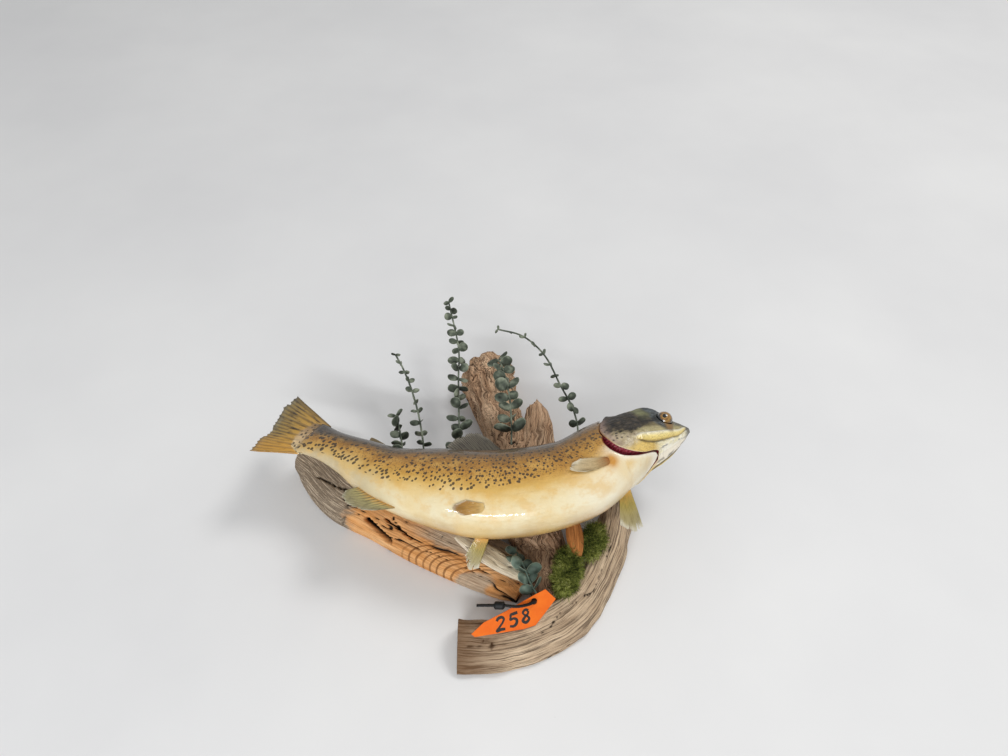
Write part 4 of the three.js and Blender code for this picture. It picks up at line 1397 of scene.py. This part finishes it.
def old_wood(name, tones, line, crack_shade, contrast=0.5, burl=0.0):
    """Weathered wood: `tones` from dark to light, with longer darker lines as strong as `contrast`.

    The lines wander by a few millimetres, and by `burl` more where the wood is knotty.
    """
    finish = Finish(name, roughness=0.85, specular=0.2)
    noise, place = finish.noise, finish.place()
    along, around, seed = finish.parts(finish.vector("grain"))
    sway, knotty = finish.uneven(place, 22, 2), finish.uneven(place, 34, 3, 0.55, 1.2)
    wandered = [along, around + sway * 7 + knotty * burl, seed]
    bent = finish.node("ShaderNodeCombineXYZ", wandered)
    broad = noise(bent, (0.012, 0.09, 1), 4, 0.6)
    lines = noise(bent, (0.02, 0.55, 1), 5, 0.65)
    fibre = noise(bent, (0.09, 2.2, 1), 4, 0.7)
    hairs = noise(bent, (0.022, 1.25, 1), 4, 0.6)
    tone = broad * 0.45 + fibre * 0.35 + noise(place, 38, 4) * 0.2
    finish.paint(
        finish.ramp(tone, *zip((0.28, 0.45, 0.58, 0.74), tones)),
        (lines.between(0.52, 0.40) * contrast, line),
        (hairs.between(0.47, 0.40) * contrast * 0.75, line),
        # Painted shade: cracks, slots and hollows are painted near black.
        (finish.note("crack_shade").between(0.15, 0.8), crack_shade),
    )
    finish.set("Roughness", 0.8 + lines * 0.15)
    finish.relief(lines, 0.0016, 0.6)
    finish.relief(fibre, 0.0007, 0.7)
    return finish


def darker_towards(finish, axis, low, high, share, tone):
    """The same wood, darker towards one end: between two places on an axis, in metres."""
    here = finish.parts(finish.place())[axis].between(low, high)
    finish.paint(finish.painted(), (here * share, tone))


def sawn_face(finish):
    """The plank: a weathered end, a sawn face with growth rings, and a patch of grey bark."""
    place = finish.place()
    x, y, _ = finish.parts(place)
    wobble = finish.uneven(place, 26, 3)
    rough_edge = finish.uneven(place, (40, 90, 60), 4)
    right, ahead = x - RING_CENTRE[0], y - RING_CENTRE[1]
    along = right * PLANK_WAY[0] + ahead * PLANK_WAY[1]
    across = ahead * PLANK_WAY[0] - right * PLANK_WAY[1]
    bowl = (along - across * across * RING_BEND + wobble * 0.006) / RING_GAP
    beat = (bowl * (2 * math.pi)).sine()
    rings = beat.between(0.35, 0.95) * bowl.within(-2.6, -0.8, 6.5, 8.0)
    lines = finish.noise(finish.vector("grain"), (0.03, 0.9, 1), 5, 0.7)
    stops = (0.3, "544838"), (0.45, "a08e7a"), (0.6, "ccbaa2"), (0.75, "e8dac4")
    butt = (x + y * -0.3 + rough_edge * 0.06 - BUTT_END).between(0.008, -0.010)
    bark = (x - BARK[0]) ** 2 * BARK_STRETCH[0] + (y - BARK[1]) ** 2 * BARK_STRETCH[1]
    bark = (bark**0.5 + rough_edge * 0.012).between(0.018, 0.012)
    belly_side = (across + rough_edge * 0.012 - along * 0.05).between(0.019, 0.024)
    belly_side = belly_side * along.between(-0.03, 0.02)
    streaky = (lines - 0.5).absolute().between(0.09, 0.0) * butt
    finish.paint(
        finish.painted(),
        (rings * (0.75 + wobble), "6f4320"),
        (butt.largest(bark * 0.85).largest(belly_side * 0.9), finish.ramp(lines, *stops)),
        (streaky * 0.7, "43372a"),
        (lines.between(0.44, 0.36) * belly_side, "2a211a"),
        # Painted shade in the plank's cracks and slots.
        (finish.note("crack_shade").between(0.5, 0.95), "17110b"),
    )


X, Y = 0, 1
SAWN = ("a8713e", "d99a5c", "ecb880", "f6d4a8")
GREY = ("8b745b", "b9a084", "dcc4a6", "f5e2c6")
BROWN = ("86664c", "c29b7a", "e4c2a0", "f6e0c4")
woods = {
    "plank": ("wood_cut", old_wood("plank_face", SAWN, "84502a", "17110c", 0.45)),
    "branch": ("wood_grey", old_wood("branch_wood", GREY, "4a3a2c", "1d150f", 0.75)),
    "root": ("wood_brown", old_wood("root_wood", BROWN, "3c2616", "1c120b", 0.85, 34)),
    "stub": ("wood_brown", old_wood("stub_wood", BROWN, "5a4230", "1c120b", 0.8, 12)),
}
sawn_face(woods["plank"][1])
# The branch is darker towards its butt.
darker_towards(woods["branch"][1], X, 0.060, -0.012, 0.78, "5e3d20")
# Painted shade on the root's near end, in the gap beside the plank.
darker_towards(woods["root"][1], Y, -0.008, -0.034, 0.45, "331f11")
for name, (slot, finish) in woods.items():
    hand_over(make_log(name), finish.material, slot, name)

# %% [markdown]
# ## Strips, moss and sprigs
# Split strips of paler wood lie on the base, moss hides the joints, and dried eucalyptus fills the
# gaps. Leaves and moss blades repeat, so Geometry Nodes set them out: one leaf or one blade is put on
# many points with a fixed seed, and the result becomes a plain mesh.


# %% Strips of split wood: start, end, half width and thickness
STRIPS = {
    "pale_strip": ((-12, -14, 43), (59, -62, 40), 10, 10),
    "orange_splinter": ((110, 8, 45), (113, -40, 45), 9, 10),
}
STRIP_ROUND, STRIP_STEP = 64, 0.8
PALE = ("a08a6c", "e0d2b4", "f6ecd8", "fffaf0")
SPLINTER = ("8f5a30", "bf7a41", "d79255", "e6b07c")


def make_strip(name):
    start, end, half, thick = STRIPS[name]
    start, end = np.array(start, float), np.array(end, float)
    length = np.linalg.norm(end - start)
    ahead = (end - start) / length
    across = unit(np.cross((0, 0, 1), ahead))
    upward = np.cross(ahead, across)
    share = np.linspace(0, 1, int(length / STRIP_STEP))[:, None]
    share, angle = np.broadcast_arrays(share, circle(STRIP_ROUND)[None, :])
    seed = sum(map(ord, name))
    run, round_at = share * length, angle * half
    lift, cracks = weathering(run * 1.6, round_at * 1.3, seed, 0.8)
    full = np.sin(np.pi * mix(0.08, 0.92, share)) ** 0.6
    x, z = np.sin(angle), np.cos(angle)
    wide = swell(x, 0.7) * half * full
    tall = swell(z, 0.6) * thick / 2 * full + lift * 0.6 * (z > -0.2)
    points = start + ahead * run[..., None] + across * wide[..., None] + upward * tall[..., None]
    # Its cracks get painted shade.
    notes = grain_notes(run, round_at, seed % 40, cracks * 0.7)
    return outward(tube(name + "_wood", points, ends_of(points), notes))


pale_wood = old_wood("pale_wood", PALE, "9b7a52", "4a3420", 0.4).material
splinter_wood = old_wood("splinter_wood", SPLINTER, "6d3a18", "2a160a", 0.4).material
hand_over(make_strip("pale_strip"), pale_wood, "wood_pale", "pale_strip")
hand_over(make_strip("orange_splinter"), splinter_wood, "wood_cut", "orange_splinter")


# %% A Geometry Nodes tree with named inputs
class Growth(Graph):
    """A Geometry Nodes tree with named inputs, run on a host object and kept as a plain mesh."""

    def __init__(self, name, **inputs):
        super().__init__(bpy.data.node_groups.new(name, "GeometryNodeTree"))
        face = self.tree.interface
        for way in ("INPUT", "OUTPUT"):
            face.new_socket("Geometry", in_out=way, socket_type="NodeSocketGeometry")
        self.keys = {}
        for key, kind in inputs.items():
            made = face.new_socket(key, in_out="INPUT", socket_type="NodeSocket" + kind)
            self.keys[key] = made.identifier
        self.entry = self.tree.nodes.new("NodeGroupInput")
        self.exit = self.tree.nodes.new("NodeGroupOutput")

    def given(self, *keys):
        """The tree's inputs of these names."""
        wires = [Wire(self, self.entry.outputs[key]) for key in keys]
        return wires if len(wires) > 1 else wires[0]

    def random(self, low, high, seed):
        values = {2: low, 3: high, "Seed": seed}
        return self.node("FunctionNodeRandomValue", values, out=1, data_type="FLOAT")

    def turned(self, rotation, axis, angle):
        """A rotation followed by one of `angle` about its own axis."""
        about = self.node("FunctionNodeAxisAngleToRotation", [axis, angle])
        return self.node("FunctionNodeRotateRotation", [rotation, about], rotation_space="LOCAL")

    def scatter(self, points, instance, rotation, size):
        size = self.node("ShaderNodeCombineXYZ", size)
        values = {"Points": points, "Instance": instance, "Rotation": rotation, "Scale": size}
        return self.node("GeometryNodeInstanceOnPoints", values)

    def finish(self, material, *parts):
        joined = self.node("GeometryNodeJoinGeometry")
        for part in parts:
            self.tree.links.new(part.socket, joined.socket.node.inputs[0])
        whole = self.node("GeometryNodeRealizeInstances", [joined])
        last = self.node("GeometryNodeSetMaterial", {"Geometry": whole, "Material": material})
        self.tree.links.new(last.socket, self.exit.inputs[0])
        return self

    def grow(self, name, host, **sizes):
        modifier = host.modifiers.new("growth", "NODES")
        modifier.node_group = self.tree
        for key, value in sizes.items():
            modifier[self.keys[key]] = value
        host.update_tag()
        shaped = host.evaluated_get(bpy.context.evaluated_depsgraph_get())
        mesh = bpy.data.meshes.new_from_object(shaped)
        mesh.name = name
        bpy.data.objects.remove(host)
        mesh.shade_smooth()
        return show(name, mesh)


print("growth trees ready")

# %% One leaf
LEAF_RINGS, LEAF_SPOKES, LEAF_STALK, LEAF_THICK = 4, 14, 1.12, 0.035


def one_leaf():
    """A round cupped leaf of radius 1 on a short stalk, closed and thin, growing along +X."""
    out = (np.arange(1, LEAF_RINGS + 1) / LEAF_RINGS)[:, None]
    turn = circle(LEAF_SPOKES)[None, :]
    x, y = out * np.cos(turn), out * np.sin(turn) * 0.94
    x = np.where(x < -0.75, x * 1.12, x)
    dish = 0.20 * out**2 + 0.10 * np.abs(y) - 0.05 * np.cos(turn * 3) * out
    lifts = (LEAF_THICK, -LEAF_THICK)
    rings = [stacked(x + LEAF_STALK, y, dish + lift * (1 - 0.8 * out**3)) for lift in lifts]
    centres = [(LEAF_STALK, 0, lift) for lift in lifts]
    points = np.concatenate([ring.reshape(-1, 3) for ring in rings] + [centres])
    half = LEAF_RINGS * LEAF_SPOKES
    edge = half - LEAF_SPOKES
    faces = []
    for s in range(LEAF_SPOKES):
        t = (s + 1) % LEAF_SPOKES
        for base, centre in ((0, 2 * half), (half, 2 * half + 1)):
            faces.append([centre, base + s, base + t])
            for inner in range(base, base + edge, LEAF_SPOKES):
                outer = inner + LEAF_SPOKES
                faces.append([inner + s, outer + s, outer + t, inner + t])
        faces.append([edge + s, half + edge + s, half + edge + t, edge + t])
    spread = np.append(np.tile(np.repeat(out.ravel(), LEAF_SPOKES), 2), (0, 0))
    leaf = mesh_piece("leaf_shape", points, faces, {"out": spread})
    leaf.hide_render = True
    return outward(leaf)


leaf = one_leaf()
print("one leaf:", len(leaf.data.polygons), "faces")

# %% The tree that sets leaves along a stem
STEM_SIDES, STEM_RADIUS, STEM_TAPER = 10, 0.0011, 0.55


def leafy_stem(material):
    """Pairs of leaves along a stem, each pair turned from the last and smaller towards the tip."""
    sizes = dict.fromkeys(("bare", "big", "small", "tilt"), "Float")
    tree = Growth("leafy_stem", pairs="Int", seed="Int", leaf="Object", **sizes)
    node, random = tree.node, tree.random
    count, seed, leaf, bare, big, small, tilt = tree.given("pairs", "seed", "leaf", *sizes)
    stem = node("GeometryNodeMeshToCurve", [tree.given("Geometry")])
    thin = 1 - node("GeometryNodeSplineParameter") * STEM_TAPER
    radius = node("GeometryNodeSetCurveRadius", {"Curve": stem, "Radius": thin})
    ring = {"Resolution": STEM_SIDES, "Radius": STEM_RADIUS}
    profile = node("GeometryNodeCurvePrimitiveCircle", ring)
    tube_of = {"Curve": radius, "Profile Curve": profile, "Fill Caps": True}
    parts = [node("GeometryNodeCurveToMesh", tube_of)]
    level = node("GeometryNodeSetCurveNormal", [stem], mode="Z_UP")
    upper = node("GeometryNodeTrimCurve", {0: level, 2: bare, 3: 1.0}, mode="FACTOR")
    spots = node("GeometryNodeCurveToPoints", {"Curve": upper, "Count": count}, mode="COUNT")
    index = node("GeometryNodeInputIndex")
    size = big + (small - big) * (index / count)
    every_second = index.math("MODULO", index, 2)
    for half_turn, shift, twist in ((0.0, seed, -1.0), (math.pi, seed + 40, 1.0)):
        spin = every_second * 0.7 + random(-0.9, 0.9, shift) + half_turn
        way = tree.turned(spots.other("Rotation"), (0, 0, 1), spin)
        lean = tilt + random(-0.4, 0.4, shift + 7)
        way = tree.turned(way, (0, 1, 0), lean * -1)
        way = tree.turned(way, (1, 0, 0), random(-0.8, 0.8, shift + 3) + twist)
        grown = size * random(0.8, 1.15, shift + 5)
        narrowed = [grown, grown * random(0.55, 1.05, shift + 9), grown]
        blade = node("GeometryNodeObjectInfo", [leaf], out=4)
        parts.append(tree.scatter(spots, blade, way, narrowed))
    return tree.finish(material, *parts)


# %% Grow the sprigs
# Pairs of leaves, radius of the first and the last leaf, share of the stem that is bare, and the
# points of the stem in millimetres.
SPRIGS = {
    "sprig_tail": (5, 8.5, 7.0, 0.35, [
        (-84, 62, 33), (-79, 82, 44), (-80, 104, 53), (-88, 136, 58),
    ]),
    "sprig_left": (11, 7.2, 3.8, 0.22, [
        (-66, 46, 33), (-54, 82, 46), (-60, 128, 53), (-72, 172, 58), (-86, 208, 62),
        (-98, 232, 64),
    ]),
    "sprig_tall": (17, 10.2, 5.2, 0.16, [
        (8, 58, 27), (-10, 86, 48), (-15, 133, 56), (-18, 193, 61), (-20, 245, 65),
        (-36, 326, 68),
    ]),
    "sprig_root": (9, 11, 9.5, 0.12, [
        (46, 101, 50), (46, 122, 62), (44, 156, 70), (36, 200, 72), (30, 224, 64),
    ]),
    "sprig_head": (11, 7, 3.2, 0.2, [
        (104, 97, 34), (122, 112, 50), (120, 146, 56), (105, 184, 62), (88, 229, 66),
        (62, 261, 68), (30, 272, 70),
    ]),
    "sprig_belly": (6, 9.5, 8, 0.12, [
        (71, -80, 37), (63, -66, 43), (57, -52, 49), (51, -36, 46),
    ]),
}
STEM_STEPS, LEAF_SCALE, LEAF_TILT = 60, 0.82, 0.4


def thread(name, points):
    """A mesh of one open line, for a tree to grow on."""
    mesh = bpy.data.meshes.new(name)
    mesh.from_pydata(points.tolist(), [(i, i + 1) for i in range(len(points) - 1)], [])
    return show(name, mesh)


def leaf_finish(name, *shades):
    finish = Finish(name, roughness=0.6, specular=0.3)
    place = finish.place()
    vein = finish.noise(place, 240, 3)
    shade = finish.ramp(finish.noise(place, 75, 2), *zip((0.3, 0.5, 0.7), shades))
    edge = (finish.note("out") + vein * 0.2).between(0.98, 1.1)
    finish.paint(shade, (edge * 0.6, "98a08c"))
    finish.relief(vein, 0.0008, 0.5)
    return finish.material


green = leaf_finish("eucalyptus", "23271f", "4d5548", "8f9683")
pale_green = leaf_finish("eucalyptus_pale", "2a342c", "4c5d52", "7b8d7f")
growth = leafy_stem(green)
for index, (name, (pairs, first, last, bare, stem)) in enumerate(SPRIGS.items()):
    big, small = (size * MM * LEAF_SCALE for size in (first, last))
    sizes = {"pairs": pairs, "bare": bare, "big": big, "small": small, "seed": index * 11}
    line = thread(name, path_of(stem, STEM_STEPS) * MM)
    sprig = growth.grow(name + "_leaves", line, leaf=leaf, tilt=LEAF_TILT, **sizes)
    hand_over(sprig, pale_green if name == "sprig_belly" else green, "leaf", name)
bpy.data.objects.remove(leaf)

# %% [markdown]
# ## Moss
# A pad of moss is a soft lumpy mound with thousands of short straight blades on it, each leaning its
# own way.


# %% Moss pads: centre, size and turn in degrees
MOSS = {
    "moss_left": ((102, -52, 36), (12, 30, 13), -10),
    "moss_right": ((131, -18, 39), (10, 22, 10), -18),
}
PAD_ROWS, PAD_ROUND, PAD_TIP = 40, 60, 0.06
# How many blades stand on a square metre, how long they are and how far they lean.
BLADES = {"crowd": 1.3e6, "length": 0.0075, "lean": 1.3}


def moss_pad(name):
    centre, size, turn = MOSS[name]
    drop = np.linspace(PAD_TIP, np.pi - PAD_TIP, PAD_ROWS)[:, None]
    around = circle(PAD_ROUND)[None, :]
    ball = stacked(np.sin(drop) * np.cos(around), np.sin(drop) * np.sin(around), np.cos(drop))
    ball = ball * np.array(size, float)
    lump = 1 + 0.30 * field(ball, 11, 5) + 0.24 * field(ball, 4.5, 6)
    x, y, z = np.moveaxis(ball * 0.84 * lump[..., None], -1, 0)
    c, s = math.cos(math.radians(turn)), math.sin(math.radians(turn))
    points = np.stack([x * c - y * s, x * s + y * c, z], -1) + centre
    return outward(tube(name, points, ends_of(points)))


def moss_finish():
    finish = Finish("moss", roughness=0.9, specular=0.1)
    place = finish.place()
    tone = finish.noise(place, 60, 4) * 0.5 + finish.noise(place, 420, 2) * 0.5
    stops = (0.36, "20280f"), (0.46, "56602a"), (0.56, "949a4c"), (0.70, "dcdc98")
    finish.paint(finish.ramp(tone, *stops))
    return finish.material


def moss_tree(material):
    tree = Growth("moss_blades", crowd="Float", length="Float", lean="Float", seed="Int")
    pad, crowd, length, lean, seed = tree.given("Geometry", *tree.keys)
    values = {"Mesh": pad, "Density": crowd, "Seed": seed}
    spots = tree.node("GeometryNodeDistributePointsOnFaces", values)
    sizes = {"Vertices": 3, "Radius Top": 0.00008, "Radius Bottom": 0.0004, "Depth": 1.0}
    blade = tree.node("GeometryNodeMeshCone", sizes)
    turn = tree.turned(spots.other("Rotation"), (0, 0, 1), tree.random(0.0, 6.28, seed))
    turn = tree.turned(turn, (1, 0, 0), tree.random(lean * -1, lean, seed + 1))
    tall = length * tree.random(0.6, 1.3, seed + 2)
    return tree.finish(material, pad, tree.scatter(spots, blade, turn, [1.0, 1.0, tall]))


moss = moss_finish()
blades = moss_tree(moss)
for index, name in enumerate(MOSS):
    pad = blades.grow(name + "_blades", moss_pad(name), seed=index + 3, **BLADES)
    hand_over(pad, moss, "moss", name)

# %% [markdown]
# ## The lot tag
# An orange card hangs from the base by a black nylon tie. The number on it is drawn by hand with a
# marker: each digit is a path, swept as a flat stroke just proud of the card.

# %% Card, number and tie
CARD = {"middle": (46, -101, 41), "along": (0.909, 0.404, 0.101), "up": (-0.367, 0.662, 0.654)}
CARD_THICK, LOT_NUMBER = 0.8, "258"
NUMBER_AT, NUMBER_TALL, NUMBER_LEAN = (-18.0, -5.0), 12.6, math.radians(-8)
DIGIT_PITCH, DIGIT_WIDE, DIGIT_SLANT = 1.02, 1.2, 0.2
STROKE, STROKE_THICK, STROKE_STEPS = 2.5, 0.08, 60
# Each digit is a path in a box one unit tall.
DIGITS = {
    "2": [
        (0.02, 0.78), (0.14, 0.95), (0.36, 0.97), (0.50, 0.80), (0.42, 0.56), (0.18, 0.26),
        (0.02, 0.04), (0.30, 0.07), (0.58, 0.02),
    ],
    "5": [
        (0.58, 0.97), (0.30, 0.95), (0.14, 0.93), (0.11, 0.74), (0.09, 0.56), (0.30, 0.60),
        (0.50, 0.46), (0.50, 0.20), (0.32, 0.03), (0.04, 0.10),
    ],
    "8": [
        (0.46, 0.84), (0.28, 0.98), (0.10, 0.84), (0.18, 0.64), (0.40, 0.44), (0.50, 0.22),
        (0.30, 0.02), (0.08, 0.20), (0.20, 0.42), (0.42, 0.62), (0.47, 0.82),
    ],
}
TIE = [
    (11, -94, 46), (36, -95.5, 49), (50, -97, 49.5), (61, -95, 50), (66.5, -91.5, 49),
    (66.7, -89, 45), (66.5, -86, 40.5), (70, -82, 35),
]
TIE_WIDE, TIE_THICK, TIE_STEPS, TIE_FACE = 4.4, 2.4, 120, (0.0, 0.75, 0.66)
TIE_HEAD_AT, TIE_HEAD, TIE_HEAD_STEPS = (33, -95.4, 48.7), (11, 8.5, 7), 14
STRAP_SIDES = 12
print("the lot number is", LOT_NUMBER)


# %% Flat bars along a path: the number and the tie
def strap(name, centre, across, upward, wide, thick):
    """A closed flat bar swept along a path; directions and sizes may change along it."""
    turn = circle(STRAP_SIDES) + np.pi / STRAP_SIDES
    x, z = swell(np.cos(turn), 0.5), swell(np.sin(turn), 0.5)
    across, upward = (np.broadcast_to(v, centre.shape)[:, None] for v in (across, upward))
    wide, thick = (np.broadcast_to(v, len(centre))[:, None] for v in (wide, thick))
    points = centre[:, None] + across * (x * wide / 2)[..., None]
    points = points + upward * (z * thick / 2)[..., None]
    return outward(tube(name, points, [centre[0], centre[-1]]))


def join(name, pieces):
    """One object from several."""
    with bpy.context.temp_override(active_object=pieces[0], selected_editable_objects=pieces):
        bpy.ops.object.join()
    pieces[0].name = name
    return pieces[0]


def draw_number(text):
    along, up = (unit(np.array(CARD[key], float)) for key in ("along", "up"))
    face = np.cross(along, up)
    c, s = math.cos(NUMBER_LEAN), math.sin(NUMBER_LEAN)
    strokes = []
    for index, digit in enumerate(text):
        right, rise = path_of(DIGITS[digit], STROKE_STEPS).T
        rise = rise - 0.5
        x = index * DIGIT_PITCH + right * DIGIT_WIDE + rise * DIGIT_SLANT
        x, y = NUMBER_AT[0] + x * NUMBER_TALL, NUMBER_AT[1] + rise * NUMBER_TALL
        centre = CARD["middle"] + along * (x * c - y * s)[:, None]
        centre = centre + up * (x * s + y * c)[:, None] + face * (CARD_THICK + STROKE_THICK / 2)
        across = unit(np.cross(face, np.gradient(centre, axis=0)))
        width = STROKE * (1 + 0.2 * np.sin(np.linspace(0, 9, STROKE_STEPS) + index))
        strokes.append(strap(f"digit_{index}", centre, across, face, width, STROKE_THICK))
    return join("lot_number", strokes)


def make_tie():
    centre = path_of(TIE, TIE_STEPS)[::-1]
    ahead = unit(np.gradient(centre, axis=0))
    across = unit(np.cross(ahead, TIE_FACE))
    teeth = TIE_THICK * (1 + 0.06 * np.sign(np.sin(np.arange(TIE_STEPS) * 1.7)))
    band = strap("tie_strap", centre, across, np.cross(across, ahead), TIE_WIDE, teeth)
    long, wide, tall = TIE_HEAD
    way = unit(np.array(TIE[2], float) - np.array(TIE[0], float))
    side = unit(np.cross(way, TIE_FACE))
    line = TIE_HEAD_AT + way * np.linspace(-long / 2, long / 2, TIE_HEAD_STEPS)[:, None]
    full = np.minimum(1, np.sin(np.linspace(0.25, np.pi - 0.25, TIE_HEAD_STEPS)) * 1.9)
    block = strap("tie_head", line, side, np.cross(side, way), wide * full, tall * full)
    return join("tie_dressed", [band, block])


# %% Paint the card and hand over the tag
def card_finish():
    finish = Finish("orange_card", roughness=0.6, specular=0.3)
    place = finish.place()
    tone = finish.ramp(finish.noise(place, 60, 4), (0.3, "dc5c04"), (0.7, "ea7210"))
    scuff = finish.noise(place, 260, 4).between(0.66, 0.74)
    finish.paint(tone, (scuff * 0.3, "ee9a60"))
    finish.relief(finish.noise(place, 700, 3), 0.0002, 0.3)
    return finish.material


def plain(name, code, specular=0.5):
    finish = Finish(name, specular=specular)
    finish.paint(colour(code))
    return finish.material


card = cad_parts["lot_tag"]
card.data.materials.clear()
card.data.materials.append(card_finish())
hand_over(draw_number(LOT_NUMBER), plain("marker_ink", "17130f"), "tag")
hand_over(make_tie(), plain("black_nylon", "0c0c0d", 0.25), "tie", "tag_tie")

# %% [markdown]
# ## The size of the dressed model
# The dressed model should fill the same box as the CAD model, give or take the thickness of a leaf.

# %% Finish
shown_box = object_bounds()
sizes = {"cad": [list(corner) for corner in cad_box], "visual": [list(corner) for corner in shown_box]}
print("shown box", [tuple(round(v, 3) for v in corner) for corner in shown_box])
